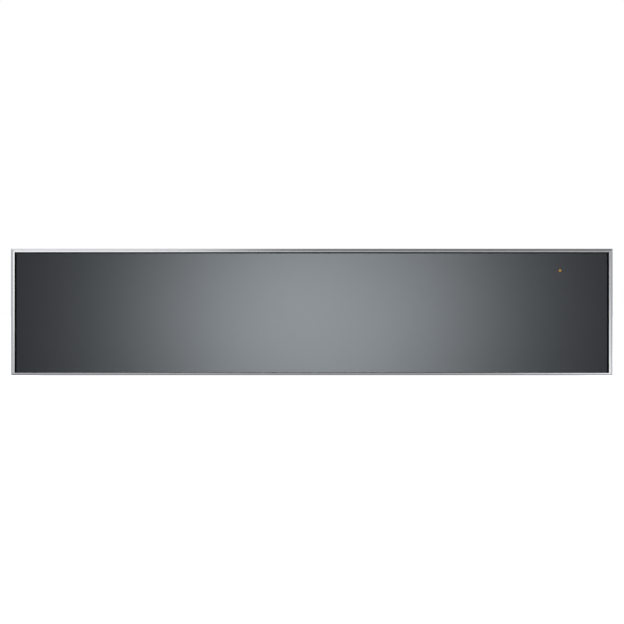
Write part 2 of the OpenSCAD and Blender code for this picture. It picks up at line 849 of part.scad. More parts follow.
module drawer_chassis() {
  front_fold = 15;
  color(galvanised) difference() {
    union() {
      block([-chassis_x, y_front_back, z_chassis], [chassis_x, y_drawer_back, z_insulation]);
      for (s = [-1, 1]) {
        translate([s * (chassis_x - chassis_sheet / 2), 0, 0])
          block([-chassis_sheet / 2, y_front_back, z_chassis], [chassis_sheet / 2, y_drawer_back, z_rim]);
        translate([s * (chassis_x - front_fold / 2), 0, 0])
          block([-front_fold / 2, y_front_back, z_chassis],
                [front_fold / 2, y_front_back + chassis_sheet, z_rim]);
      }
    }
    for (p = front_screw_at) rod_y(screw_r, y_front_back - eps, y_front_back + chassis_sheet + eps, p);
    for (s = [-1, 1], y = rivet_y)
      rod_x(screw_r, s * chassis_x - 2 * chassis_sheet, s * chassis_x + 2 * chassis_sheet, [y, z_rail]);
    // air slots under the blower
    for (s = [-1, 1]) {
      translate([s * chassis_x / 2, y_blower, 0]) along_z(z_chassis - eps, z_insulation + eps) vents(6);
    }
  }
}

module tray_outline(inset) {
  round_rect([-tray_x + inset, y_tray + inset], [tray_x - inset, y_tray_back - inset], tray_corner_r - inset);
}

module tray_liner() {
  color(steel) difference() {
    union() {
      along_z(z_tray_floor, z_rim_top) tray_outline(0);
      block([-chassis_x, y_front_back, z_rim], [chassis_x, y_tray_back, z_rim_top]);
    }
    along_z(z_plate_seat, z_rim_top + eps) tray_outline(liner_t);
    block([-cutout_x, cutout_y[0], z_tray_floor - eps], [cutout_x, cutout_y[1], z_plate_seat + eps]);
    rod_y(intake_r, y_tray_back - liner_t - eps, y_tray_back + eps, [0, z_fan]);
    // warm air outlets to the left and right of the intake
    for (s = [-1, 1]) {
      translate([s * (tray_x - outlet_inset), 0, 0]) along_y(y_tray_back - liner_t - eps, y_tray_back + eps)
        translate([0, z_plate + 28]) slot_row(12, outlet_pitch, outlet_w, outlet_l);
    }
  }
}

module heating_plate() {
  color([0.10, 0.10, 0.11])
    block([-cutout_x - plate_lap, cutout_y[0] - plate_lap, z_plate],
          [cutout_x + plate_lap, cutout_y[1] + plate_lap, z_plate + plate_t]);
}

module plate_gasket() {
  lap = plate_lap - 1;
  color(black) difference() {
    block([-cutout_x - lap, cutout_y[0] - lap, z_plate_seat], [cutout_x + lap, cutout_y[1] + lap, z_plate]);
    block([-cutout_x, cutout_y[0], z_plate_seat - eps], [cutout_x, cutout_y[1], z_plate + eps]);
  }
}

// Place of the heater's run i along Y
function heater_y(i) = cutout_y[0] + heater_inset + i * heater_pitch;

// The heater tube's section: round, pressed flat where it rests
module heater_section() {
  intersection() {
    translate([0, heater_r - heater_flat]) circle(heater_r);
    translate([-heater_r, 0]) square([2 * heater_r, 2 * heater_r]);
  }
}

module heater_element() {
  x_tail = cutout_x + element_margin + heater_tail;
  last = heater_runs - 1;
  color([0.25, 0.25, 0.26]) translate([0, 0, z_heater]) {
    // straight runs; the first and the last go on through the element tray's right wall
    for (i = [0 : last])
      along_x(-heater_x, i == 0 || i == last ? x_tail : heater_x) translate([heater_y(i), 0]) heater_section();
    // bends on the left behind the runs 0, 2, 4 ... and on the right behind the others
    for (i = [0 : last - 1]) {
      side = i % 2 == 0 ? -1 : 1;
      translate([side * heater_x, heater_y(i + 0.5), 0]) rotate([0, 0, -side * 90])
        rotate_extrude(angle = 180) translate([heater_pitch / 2, 0]) heater_section();
    }
  }
}

module element_tray() {
  x = cutout_x + element_margin;
  y = [cutout_y[0] - element_margin, cutout_y[1] + element_margin];
  color(galvanised) difference() {
    block([-x, y[0], z_element], [x, y[1], z_tray_floor]);
    block([-x + element_sheet, y[0] + element_sheet, z_heater],
          [x - element_sheet, y[1] - element_sheet, z_tray_floor + eps]);
    for (i = [0, heater_runs - 1])
      rod_x(heater_r + pass_gap, x - element_sheet - eps, x + eps,
            [heater_y(i), z_heater + heater_r - heater_flat]);
  }
}

module floor_insulation() {
  color(mineral)
    block([-chassis_x + chassis_sheet + seat_gap, y_front_back + chassis_sheet + seat_gap, z_insulation],
          [chassis_x - chassis_sheet - seat_gap, y_tray_back, z_element]);
}

module thermal_cutout() {
  at = [-motor_post_x - 30, z_plate + 30];
  disc_h = 6;
  tag_h = 7;
  color([0.80, 0.78, 0.72]) {
    rod_y(8, y_tray_back, y_tray_back + disc_h, at);
    rod_y(10, y_tray_back, y_tray_back + 1.5, at);
    // two contact tags
    for (x = [at[0] - 4, at[0] + 4])
      block([x - 1.6, y_tray_back + disc_h, at[1] - 3], [x + 1.6, y_tray_back + disc_h + tag_h, at[1] - 2.2]);
  }
}

module rear_cover() {
  color(steel) difference() {
    union() {
      block([-chassis_x, y_tray_back, z_rim], [chassis_x, y_drawer_back, z_rim_top]);
      block([-chassis_x + chassis_sheet, y_drawer_back - chassis_sheet, z_insulation],
            [chassis_x - chassis_sheet, y_drawer_back, z_rim_top]);
    }
    for (s = [-1, 1])
      rod_y(screw_r, y_drawer_back - chassis_sheet - eps, y_drawer_back + eps, striker_screw_at(s));
    rod_y(lead_r + seat_gap, y_drawer_back - chassis_sheet - eps, y_drawer_back + eps,
          [lead_route[len(lead_route) - 1][0], lead_z]);
    // vents on both sides
    for (s = [-1, 1]) {
      translate([s * chassis_x / 2, 0, 0]) along_y(y_drawer_back - chassis_sheet - eps, y_drawer_back + eps)
        translate([0, z_rail]) vents(9);
    }
  }
}

module fan_motor() {
  lug = 8;
  color([0.30, 0.31, 0.32]) difference() {
    union() {
      rod_y(motor_r, y_motor, y_motor + motor_l, [0, z_fan]);
      block([-motor_post_x - lug, y_motor, z_fan - lug],
            [motor_post_x + lug, y_motor + motor_lug_t, z_fan + lug]);
      for (s = [-1, 1]) rod_y(motor_post_r, y_tray_back, y_motor + motor_lug_t, [s * motor_post_x, z_fan]);
    }
    rod_y(shaft_r + run_gap, y_motor - eps, y_motor + motor_l - 8, [0, z_fan]);
  }
}

module fan_wheel() {
  hub_r = 8;
  disc_t = 1.5;
  blade_t = 1.2;
  blade_w = 12;
  y_disc = y_wheel + wheel_w - disc_t;
  color([0.55, 0.56, 0.58]) {
    rod_y(wheel_r, y_disc, y_wheel + wheel_w, [0, z_fan]);
    rod_y(hub_r, y_wheel + 4, y_wheel + wheel_w, [0, z_fan]);
    rod_y(shaft_r, y_wheel + 2, y_motor + motor_l - 10, [0, z_fan]);
    for (i = [0 : blade_count - 1]) {
      translate([0, y_wheel, z_fan]) rotate([0, i * 360 / blade_count, 0])
        translate([wheel_r - 2 - blade_w, 0, -blade_t / 2]) cube([blade_w, wheel_w - disc_t / 2, blade_t]);
    }
  }
}

module fan_grille() {
  y_grille = y_tray_back - liner_t - grille_t;
  ring_r = intake_r / 3;
  color(bright) difference() {
    rod_y(grille_r, y_grille, y_grille + grille_t, [0, z_fan]);
    // slots as chords, shorter towards the edge
    along_y(y_grille - eps, y_grille + grille_t + eps) for (i = [-4 : 4]) {
      translate([i * ring_r * 0.6, z_fan]) slot(3, 2 * sqrt(pow(intake_r - 1, 2) - pow(i * ring_r * 0.6, 2)));
    }
  }
}

// ---- Controls ----

module control_panel() {
  color([0.14, 0.14, 0.15]) difference() {
    block([control_x[0], y_control[0], z_control - control_h], [control_x[1], y_control[1], z_control]);
    block([control_x[0] + control_wall, y_control[0] - eps, z_control - control_h + control_wall],
          [control_x[1] - control_wall, y_control[1] - control_wall, z_control - control_wall]);
    rod_z(button_d / 2 + guide_gap, z_control - control_wall - eps, z_control + eps, [button_x, y_knob]);
    rod_z(selector_neck_r + guide_gap, z_control - control_wall - eps, z_control + eps, [knob_x, y_knob]);
  }
}

selector_neck_r = 4;
selector_shaft_r = 3;

module selector_switch() {
  color([0.20, 0.20, 0.22]) {
    rod_z(11, z_control - control_wall - 20, z_control - control_wall, [knob_x, y_knob]);
    rod_z(selector_neck_r, z_control - control_wall, z_control, [knob_x, y_knob]);
    rod_z(selector_shaft_r, z_control, z_control + knob_h - 2, [knob_x, y_knob]);
  }
}

module temperature_knob() {
  knob_r = knob_d / 2;
  flute_r = 4;
  z0 = z_control + knob_gap;
  color([0.70, 0.71, 0.73]) difference() {
    rod_z(knob_r, z0, z0 + knob_h, [knob_x, y_knob]);
    rod_z(selector_shaft_r + run_gap, z0 - eps, z_control + knob_h - 1.5, [knob_x, y_knob]);
    for (i = [0 : 11]) {
      translate([knob_x, y_knob, 0]) rotate([0, 0, 15 + i * 30])
        rod_z(flute_r, z0 + 2, z0 + knob_h + eps, [knob_r + flute_r - 1, 0]);
    }
    // pointer line
    block([knob_x - 0.6, y_knob - knob_r - eps, z0 + knob_h - 0.5],
          [knob_x + 0.6, y_knob - 3, z0 + knob_h + eps]);
  }
}

module power_button() {
  z_flange = z_control - control_wall - button_flange_t - guide_gap;
  color([0.70, 0.71, 0.73]) {
    rod_z(button_d / 2, z_flange, z_control + button_out, [button_x, y_knob]);
    rod_z(button_flange_r, z_flange, z_flange + button_flange_t, [button_x, y_knob]);
  }
}

module power_switch() {
  top = z_control - control_wall - button_flange_t - guide_gap - button_travel - seat_gap;
  color([0.20, 0.20, 0.22])
    block([button_x - 11, y_knob - 8, z_control - control_h + control_wall], [button_x + 11, y_knob + 8, top]);
}

module drawer_screws() {
  color(bright) {
    for (p = front_screw_at)
      translate([p[0], y_front_back + chassis_sheet, p[1]]) rotate([-90, 0, 0]) screw(2 * chassis_sheet);
    for (s = [-1, 1], y = rivet_y)
      translate([s * (chassis_x - chassis_sheet), y, z_rail]) rotate([0, -s * 90, 0])
        screw(chassis_sheet + rail_sheet);
    for (s = [-1, 1])
      translate([striker_screw_at(s)[0], y_drawer_back + striker_t, striker_screw_at(s)[1]])
        rotate([-90, 0, 0]) screw(striker_t + chassis_sheet);
  }
}

// ---- Lead behind the drawer ----

// Heading in degrees from one point to the next
function heading(a, b) = atan2(b[1] - a[1], b[0] - a[0]);
// Turn at corner i, from -180 to 180
function turn_at(p, i) =
  let (d = heading(p[i], p[i + 1]) - heading(p[i - 1], p[i])) d > 180 ? d - 360 : d < -180 ? d + 360 : d;
// The rounded route: [x, y, heading] at the ends, and in small steps round each corner
function rounded(p, r, steps) = concat(
  [[p[0][0], p[0][1], heading(p[0], p[1])]],
  [for (i = [1 : len(p) - 2])
    let (h = heading(p[i - 1], p[i]), t = turn_at(p, i), s = sign(t), back = r * tan(abs(t) / 2),
         c = [p[i][0] - back * cos(h) - s * r * sin(h), p[i][1] - back * sin(h) + s * r * cos(h)])
      for (k = [0 : steps]) let (a = h + t * k / steps) [c[0] + s * r * sin(a), c[1] - s * r * cos(a), a]],
  [let (n = len(p)) [p[n - 1][0], p[n - 1][1], heading(p[n - 2], p[n - 1])]]
);

module drawer_lead() {
  sides = 8;
  path = rounded(lead_route, lead_bend, lead_bend_steps);
  points = [for (q = path) for (j = [0 : sides - 1]) let (a = j * 360 / sides)
    [q[0] - lead_r * cos(a) * sin(q[2]), q[1] + lead_r * cos(a) * cos(q[2]), lead_z + lead_r * sin(a)]];
  last = (len(path) - 1) * sides;
  faces = concat(
    [[for (j = [0 : sides - 1]) j]],
    [[for (j = [sides - 1 : -1 : 0]) last + j]],
    [for (i = [0 : len(path) - 2]) for (j = [0 : sides - 1]) let (k = (j + 1) % sides)
      [i * sides + j, (i + 1) * sides + j, (i + 1) * sides + k, i * sides + k]]
  );
  color([0.75, 0.30, 0.20]) polyhedron(points, faces);
}

case_base();
case_side(-1);  // case_side_left
case_side(1);  // case_side_right
case_rear();
case_top();
front_surround();
base_glides();
flange_bumpers();
terminal_block();
terminal_cover();
cable_gland();
case_screws();
outer_rail(-1);  // outer_rail_left
outer_rail(1);  // outer_rail_right
rail_rivets();
latch_body();
latch_spring();
latch_plunger();
middle_rail(-1);  // middle_rail_left
middle_rail(1);  // middle_rail_right
retainer(-1, outer_retainer_t, outer_ball_t, outer_ball_z);  // outer_retainer_left
retainer(1, outer_retainer_t, outer_ball_t, outer_ball_z);  // outer_retainer_right
retainer(-1, inner_retainer_t, inner_ball_t, inner_ball_z);  // inner_retainer_left
retainer(1, inner_retainer_t, inner_ball_t, inner_ball_z);  // inner_retainer_right
inner_rail(-1);  // inner_rail_left
inner_rail(1);  // inner_rail_right
frame_bar(-1, true, 1, true);  // frame_bar_top
frame_bar(-1, false, 1, false);  // frame_bar_bottom
frame_bar(-1, false, -1, true);  // frame_bar_left
frame_bar(1, false, 1, true);  // frame_bar_right
front_panel();
front_gasket();
front_carrier();
front_insulation();
front_inner_panel();
indicator_lens();
indicator_led();
indicator_board();
drawer_chassis();
tray_liner();
heating_plate();
plate_gasket();
heater_element();
element_tray();
floor_insulation();
thermal_cutout();
rear_cover();
fan_motor();
fan_wheel();
fan_grille();
control_panel();
power_switch();
power_button();
selector_switch();
temperature_knob();
latch_striker();
striker_buffer();
drawer_screws();
drawer_lead();
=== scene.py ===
import json
import math

import bmesh
import bpy
from mathutils import Matrix, Vector


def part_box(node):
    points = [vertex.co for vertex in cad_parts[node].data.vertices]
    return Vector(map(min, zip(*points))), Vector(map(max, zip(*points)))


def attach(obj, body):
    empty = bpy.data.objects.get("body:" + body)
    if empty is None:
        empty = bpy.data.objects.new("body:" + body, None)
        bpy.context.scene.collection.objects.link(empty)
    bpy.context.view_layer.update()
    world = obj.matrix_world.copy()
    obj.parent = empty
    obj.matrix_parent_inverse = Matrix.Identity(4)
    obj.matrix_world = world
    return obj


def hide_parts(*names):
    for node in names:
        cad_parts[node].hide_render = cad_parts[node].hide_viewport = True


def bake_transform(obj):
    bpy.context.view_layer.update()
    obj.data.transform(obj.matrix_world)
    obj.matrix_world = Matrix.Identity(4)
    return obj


bl_info = {
    "name": "Warming Drawer",
    "version": (1, 0, 0),
    "blender": (4, 5, 0),
    "location": "3D View > Sidebar > Warming Drawer",
    "description": "Finishes and fine shapes of a built-in warming drawer, and the studio it stands in",
    "category": "Object",
}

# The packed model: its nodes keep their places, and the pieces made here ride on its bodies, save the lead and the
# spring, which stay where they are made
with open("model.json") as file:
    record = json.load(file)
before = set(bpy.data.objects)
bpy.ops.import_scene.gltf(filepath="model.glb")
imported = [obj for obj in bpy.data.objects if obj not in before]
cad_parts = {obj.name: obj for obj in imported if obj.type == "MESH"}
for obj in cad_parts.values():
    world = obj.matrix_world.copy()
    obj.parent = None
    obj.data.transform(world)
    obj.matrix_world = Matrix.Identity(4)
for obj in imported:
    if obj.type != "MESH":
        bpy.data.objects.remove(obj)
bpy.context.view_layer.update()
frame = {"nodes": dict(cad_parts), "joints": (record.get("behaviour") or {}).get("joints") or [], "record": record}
CAD = frame["nodes"]
SLOT = {part["node"]: part["material_slot"] for part in frame["record"]["subparts"]}
BODY = {node: body for body, nodes in frame["record"]["behaviour"]["bodies"].items() for node in nodes}

MM = 0.001
SIDES = ("left", "right")
BAR_NODES = [f"frame_bar_{place}" for place in ("top", "bottom", "left", "right")]


# ---------------- sizes and colours


def length(name, description, default):
    return bpy.props.FloatProperty(
        name=name, description=description, default=default, min=0.0, unit="LENGTH", precision=5
    )


def tint(name, description, default):
    return bpy.props.FloatVectorProperty(
        name=name, description=description, default=default, size=3, min=0.0, max=1.0, subtype="COLOR"
    )


def share(name, description, default):
    return bpy.props.FloatProperty(
        name=name, description=description, default=default, min=0.0, max=1.0, subtype="FACTOR"
    )


def light_power(name, description, default):
    return bpy.props.FloatProperty(name=name, description=description, default=default, min=0.0, unit="POWER")


class FrontLook(bpy.types.PropertyGroup):
    """Front: frame, panel, gasket and indicator"""

    frame_edge: length("Frame edge", "Radius of the frame's softened edges", 0.12 * MM)
    frame_tint: tint("Frame", "Polished stainless steel of the frame", (0.80, 0.81, 0.83))
    frame_gloss: share("Frame roughness", "Roughness of the frame's steel", 0.19)
    panel_edge: length("Panel edge", "Radius of the glass panel's ground edge", 0.2 * MM)
    panel_tint: tint("Panel", "Metallic coat behind the satin glass", (0.247, 0.268, 0.286))
    panel_gloss: share("Panel roughness", "Roughness of the satin glass", 0.26)
    # Painted shade: black rubber made blacker still, so the gasket in the gap beside the panel reads as a shadow
    # line
    gasket_tint: tint("Gasket", "Black rubber in the shadow beside the panel", (0.003, 0.003, 0.0033))
    lens_tint: tint("Indicator", "Amber plastic of the indicator", (0.36, 0.21, 0.07))
    lens_glow: tint("Indicator glow", "Light in the middle of the indicator", (0.32, 0.20, 0.05))


class HousingLook(bpy.types.PropertyGroup):
    """Housing: folded sheets, screws, glides and cable gland"""

    sheet_edge: length("Sheet edge", "Radius of the sheets' folds and cut edges", 0.3 * MM)
    zinc_tint: tint("Zinc", "Galvanised sheet", (0.56, 0.585, 0.60))
    spangle: length("Spangle", "Size of the zinc's crystals", 5.5 * MM)
    screw_recess: length("Screw recess", "Radius of the screws' drive", 1.7 * MM)
    screw_tint: tint("Plated steel", "Bright zinc plating of screws, rivets and rails", (0.69, 0.70, 0.71))
    rubber_tint: tint("Rubber", "Black rubber of glides, bumpers and the other gasket", (0.020, 0.020, 0.021))
    plastic_tint: tint("Black plastic", "Fine-textured black plastic", (0.035, 0.035, 0.038))
    light_plastic_tint: tint("Light plastic", "Off-white plastic, a little yellowed", (0.74, 0.72, 0.66))
    spring_tint: tint("Spring wire", "Bright hard-drawn wire", (0.62, 0.62, 0.63))
    rib_count: bpy.props.IntProperty(
        name="Gland ribs", description="Grip ribs round the cable gland's nut", default=24, min=3
    )


class DrawerLook(bpy.types.PropertyGroup):
    """Drawer: pressed tray, glass plate, slides and blower"""

    floor_radius: length("Floor radius", "Radius where the tray's wall meets its floor", 6.0 * MM)
    rim_radius: length("Rim radius", "Radius of the tray's rim", 1.2 * MM)
    corner_radius: length("Corner radius", "Inner radius of the tray's upright corners", 19.2 * MM)
    sheet: length("Tray sheet", "Thickness of the tray's sheet", 0.8 * MM)
    cutout_radius: length("Cut-out radius", "Corner radius of the opening under the glass", 8.0 * MM)
    plate_edge: length("Plate edge", "Radius of the glass plate's ground edge", 0.9 * MM)
    plate_corner: length("Plate corner", "Corner radius of the glass plate", 10.0 * MM)
    steel_tint: tint("Tray steel", "Brushed stainless steel of the tray", (0.66, 0.66, 0.65))
    plate_tint: tint("Glass ceramic", "Black glass ceramic", (0.010, 0.010, 0.011))
    print_tint: tint("Print", "Grey print on the glass ceramic", (0.16, 0.16, 0.165))
    dot_pitch: length("Dot pitch", "Distance between the printed dots", 4.0 * MM)
    mineral_tint: tint("Mineral board", "Pressed mineral fibre", (0.74, 0.70, 0.61))
    heater_brown: tint("Heater brown", "Brown heat tint of the heater tube", (0.14, 0.105, 0.08))
    heater_blue: tint("Heater blue", "Blue heat tint of the heater tube", (0.09, 0.10, 0.14))
    ceramic_tint: tint("Ceramic", "Unglazed ceramic of the cut-out switch", (0.72, 0.69, 0.62))
    ball_tint: tint("Balls", "Polished balls with a thin film of grease", (0.80, 0.79, 0.77))
    fan_tint: tint("Fan metal", "Pressed aluminium, lightly dulled", (0.66, 0.67, 0.68))
    motor_tint: tint("Motor paint", "Black stoved paint", (0.045, 0.045, 0.048))
    board_tint: tint("Board", "Green solder mask", (0.015, 0.13, 0.05))
    copper_tint: tint("Tracks", "Copper under the solder mask", (0.06, 0.30, 0.10))
    lead_tint: tint("Lead", "Red-brown silicone", (0.24, 0.045, 0.025))


class ControlLook(bpy.types.PropertyGroup):
    """Controls: knob, button and the marks beside them"""

    metal_tint: tint("Control metal", "Turned aluminium", (0.70, 0.71, 0.72))
    mark_tint: tint("Marks", "Print on the control panel", (0.72, 0.72, 0.70))
    numeral_height: length("Numeral height", "Height of the dial's numerals", 2.6 * MM)
    numeral_radius: length("Numeral circle", "Distance of the numerals from the knob's axis", 17.3 * MM)
    tick_start: length("Tick start", "Distance of the ticks' inner ends from the knob's axis", 14.1 * MM)
    tick_length: length("Tick length", "Length of the dial's ticks", 1.3 * MM)
    mark_width: length("Mark width", "Width of the printed lines", 0.35 * MM)
    steps: bpy.props.IntProperty(name="Steps", description="Heat settings on the dial", default=4, min=1)


class StudioLook(bpy.types.PropertyGroup):
    """Studio: floor, camera and lights"""

    floor_size: length("Floor", "Width of the floor", 60.0)
    lens: bpy.props.FloatProperty(
        name="Lens", description="Focal length of the camera", default=135.0, min=1.0, unit="CAMERA"
    )
    distance: length("Distance", "From the front's face to the camera", 2309.0 * MM)
    sideways: length("Sideways", "How far the camera stands to the right of the front's middle", 0.17 * MM)
    key_power: light_power("Key light", "Softbox behind the camera", 1.77)
    sky_power: light_power("Sky light", "Large softbox overhead", 17.0)


GROUPS = {
    "warming_front": FrontLook,
    "warming_housing": HousingLook,
    "warming_drawer": DrawerLook,
    "warming_controls": ControlLook,
    "warming_studio": StudioLook,
}


def look(name):
    return getattr(bpy.context.scene, "warming_" + name)


# ---------------- shader nodes


class Socket:
    """An output of a shader node. Arithmetic on sockets adds the Math nodes that work it out."""

    def __init__(self, shading, link):
        self.shading = shading
        self.link = link

    def math(self, operation, *others):
        return self.shading.node("ShaderNodeMath", {"operation": operation}, [self, *others])

    def __add__(self, other):
        return self.math("ADD", other)

    def __sub__(self, other):
        return self.math("SUBTRACT", other)

    def __rsub__(self, other):
        return self.shading.node("ShaderNodeMath", {"operation": "SUBTRACT"}, [other, self])

    def __mul__(self, other):
        return self.math("MULTIPLY", other)

    def __lt__(self, other):
        return self.math("LESS_THAN", other)

    def __gt__(self, other):
        return self.math("GREATER_THAN", other)

    __radd__ = __add__
    __rmul__ = __mul__

    def __abs__(self):
        return self.math("ABSOLUTE")

    def spread(self, low, high, start=0.3, end=0.7):
        """The value taken from start..end to low..high, and held there."""
        inputs = {"Value": self, "From Min": start, "From Max": end, "To Min": low, "To Max": high}
        return self.shading.node("ShaderNodeMapRange", {"clamp": True}, inputs)


class Shading:
    """A node tree under construction."""

    def __init__(self, tree):
        self.tree = tree
        tree.nodes.clear()

    def node(self, kind, settings=None, inputs=None, output=0):
        """Adds a node: first its settings, then its sockets' values or links. Gives back one output."""
        made = self.tree.nodes.new(kind)
        for key, value in (settings or {}).items():
            setattr(made, key, value)
        for key, value in inputs.items() if isinstance(inputs, dict) else enumerate(inputs or []):
            if isinstance(value, Socket):
                self.tree.links.new(value.link, made.inputs[key])
            else:
                made.inputs[key].default_value = value
        return Socket(self, made.outputs[output]) if made.outputs else made

    def parts(self, vector):
        """The x, y and z of a vector."""
        split = self.node("ShaderNodeSeparateXYZ", {}, [vector]).link.node
        return [Socket(self, output) for output in split.outputs]


class Finish(Shading):
    """A finish of the drawer: one Principled shader, fed by patterns in the object's own metres."""

    def __init__(self, name, colour, metallic=0.0, sockets=None):
        self.material = bpy.data.materials.new(name)
        self.material.use_nodes = True
        self.material.diffuse_color = (*colour, 1.0)
        super().__init__(self.material.node_tree)
        inputs = {"Base Color": (*colour, 1.0), "Metallic": metallic}
        surface = self.node("ShaderNodeBsdfPrincipled", {}, inputs | (sockets or {}))
        self.shader = surface.link.node
        self.node("ShaderNodeOutputMaterial", {}, {"Surface": surface})
        self.place = self.node("ShaderNodeTexCoord", {}, {}, "Object")

    def feed(self, socket, value):
        self.tree.links.new(value.link, self.shader.inputs[socket])

    def around(self, node):
        """The x, y and z of the place on the piece, measured from the middle of a CAD node."""
        settings = {"operation": "SUBTRACT"}
        return self.parts(self.node("ShaderNodeVectorMath", settings, [self.place, box(node)[2]]))

    def noise(self, scale, detail=2.0, roughness=0.5):
        """Noise with features 1/scale metres across, along each axis."""
        scale = scale if isinstance(scale, tuple) else (scale,) * 3
        features = self.node("ShaderNodeMapping", {}, {"Vector": self.place, "Scale": scale})
        inputs = {"Vector": features, "Scale": 1.0, "Detail": detail, "Roughness": roughness}
        return self.node("ShaderNodeTexNoise", {}, inputs)

    def cells(self, size, output="Distance", randomness=1.0, dimensions="3D"):
        """Cells of about a size: the distance from each one's middle, or a random colour for each."""
        inputs = {"Vector": self.place, "Scale": 1.0 / size, "Randomness": randomness}
        return self.node("ShaderNodeTexVoronoi", {"voronoi_dimensions": dimensions}, inputs, output)

    def mixed(self, mask, first, second):
        """The first colour where the mask is 0 and the second where it is 1."""
        ends = [value if isinstance(value, Socket) else (*value, 1.0) for value in (first, second)]
        return self.node("ShaderNodeMix", {"data_type": "RGBA"}, {0: mask, 6: ends[0], 7: ends[1]}, 2)

    def toned(self, mask, colour, low, high):
        """A colour made darker where the mask is 0 and lighter where it is 1."""
        return self.mixed(mask, [part * low for part in colour], [min(1.0, part * high) for part in colour])

    def tone(self, pattern, colour, low, high):
        """Feeds the base colour, darker where a pattern is low and lighter where it is high."""
        self.feed("Base Color", self.toned(pattern.spread(0.0, 1.0), colour, low, high))

    def emboss(self, height, depth, strength):
        inputs = {"Strength": strength, "Distance": depth, "Height": height}
        self.feed("Normal", self.node("ShaderNodeBump", {}, inputs))


# ---------------- finishes


# Finishes made of noise alone. For each: where its colour is kept; how metallic it is; the noise of its tone,
# and how far that darkens and lightens the colour; the noise of its roughness (None is the tone's again), and
# what that spans; the depth and strength of its relief; and other sockets of the shader. A noise is its
# features per metre, its detail and its own roughness.
NOISY = {
    "gasket_rubber": (
        "housing.rubber_tint", 0.0, ((40.0, 3.0), 0.8, 1.5), ((1800.0, 3.0), 0.70, 0.86),
        (0.03 * MM, 0.5), {"Specular IOR Level": 0.25},
    ),
    # The gasket in the gap beside the panel: the black rubber again, painted darker and with less shine as painted
    # shade
    "gasket_rubber_shaded": (
        "front.gasket_tint", 0.0, ((40.0, 3.0), 0.8, 1.5), ((1800.0, 3.0), 0.70, 0.86),
        (0.03 * MM, 0.5), {"Specular IOR Level": 0.06},
    ),
    "black_plastic": (
        "housing.plastic_tint", 0.0, ((60.0, 3.0), 0.85, 1.25), ((2200.0, 3.0, 0.6), 0.46, 0.62),
        (0.03 * MM, 0.6), {},
    ),
    "terminal_plastic": (
        "housing.light_plastic_tint", 0.0, (((60.0, 200.0, 60.0),), 0.93, 1.04), (None, 0.34, 0.46),
        None, {},
    ),
    "spring_steel": ("housing.spring_tint", 1.0, ((1500.0,), 0.9, 1.05), (None, 0.22, 0.34), None, {}),
    "ball_steel": ("drawer.ball_tint", 1.0, ((900.0,), 0.94, 1.03), (None, 0.05, 0.16), None, {}),
    "ceramic_body": (
        "drawer.ceramic_tint", 0.0, ((1600.0, 2.0, 0.7), 0.82, 1.05), (None, 0.55, 0.70),
        (0.03 * MM, 0.4), {},
    ),
    "fan_metal": ("drawer.fan_tint", 1.0, ((120.0, 3.0), 0.86, 1.04), (None, 0.33, 0.48), None, {}),
    "motor_paint": (
        "drawer.motor_tint", 0.0, ((620.0,), 0.88, 1.12), (None, 0.30, 0.44), (0.05 * MM, 0.4), {},
    ),
    "lead_silicone": (
        "drawer.lead_tint", 0.0, ((700.0, 3.0), 0.88, 1.2), (None, 0.55, 0.72), (0.02 * MM, 0.4), {},
    ),
    "dial_print": ("controls.mark_tint", 0.0, ((5000.0,), 0.9, 1.06), (None, 0.45, 0.6), None, {}),
}


def noisy(name):
    """A finish of the table above."""
    colour_of, metallic, tone, gloss, relief, sockets = NOISY[name]
    group, colour_name = colour_of.split(".")
    colour = getattr(look(group), colour_name)
    made = Finish(name, colour, metallic, sockets)
    clouds = made.noise(*tone[0])
    skin = made.noise(*gloss[0]) if gloss[0] else clouds
    made.tone(clouds, colour, *tone[1:])
    made.feed("Roughness", skin.spread(*gloss[1:]))
    if relief:
        made.emboss(skin, *relief)
    return made


def frame_steel(variant):
    """Fine-ground stainless steel; the grain runs along the bar."""
    front = look("front")
    along, across = 9.0, 2600.0
    steel = Finish("frame_steel", front.frame_tint, 1.0)
    grain = steel.noise((across, across, along) if variant == "upright" else (along, across, across))
    smudge = steel.noise(14.0)
    steel.tone(grain, front.frame_tint, 0.98, 1.015)
    steel.feed("Roughness", grain.spread(-0.01, 0.015) + smudge.spread(-0.01, 0.01) + front.frame_gloss)
    steel.emboss(grain, 0.001 * MM, 0.2)
    return steel


def panel_glass(variant):
    """Satin glass with a metallic coat behind it, faintly mottled and with no grain direction."""
    front = look("front")
    glass = Finish("panel_glass", front.panel_tint, 1.0)
    mottle, cloud = glass.noise(420.0), glass.noise(5.0)
    glass.tone(mottle, front.panel_tint, 0.975, 1.025)
    glass.feed("Roughness", cloud.spread(-0.004, 0.004) + front.panel_gloss)
    return glass


def indicator(variant):
    """Translucent amber, lit a little in the middle."""
    front = look("front")
    lens = Finish("indicator", front.lens_tint, 0.0, {"Specular IOR Level": 0.2, "Emission Strength": 0.55})
    x, _, z = lens.around("indicator_lens")
    core = (x * x + z * z).math("SQRT").spread(1.0, 0.0, 0.3 * MM, 1.7 * MM)
    lens.feed("Base Color", lens.toned(core, front.lens_tint, 0.40, 1.15))
    lens.feed("Emission Color", lens.toned(core, front.lens_glow, 0.0, 1.0))
    lens.feed("Roughness", lens.noise(3500.0).spread(0.22, 0.34))
    return lens


def zinc_sheet(variant):
    """Galvanised sheet: crystals of slightly different tone and gloss, and faint rolling lines."""
    housing = look("housing")
    zinc = Finish("zinc_sheet", housing.zinc_tint, 1.0)
    feather = zinc.noise((260.0, 420.0, 260.0), 3.0)
    rolling = zinc.noise((900.0, 6.0, 900.0))
    crystals = zinc.cells(housing.spangle, "Color") * 0.75 + feather * 0.25
    zinc.feed("Base Color", zinc.toned(crystals.spread(0.0, 1.0, 0.2, 0.8), housing.zinc_tint, 0.84, 1.10))
    zinc.feed("Roughness", crystals.spread(0.34, 0.50, 0.2, 0.8) + rolling.spread(-0.02, 0.02))
    zinc.emboss(feather, 0.01 * MM, 0.25)
    return zinc


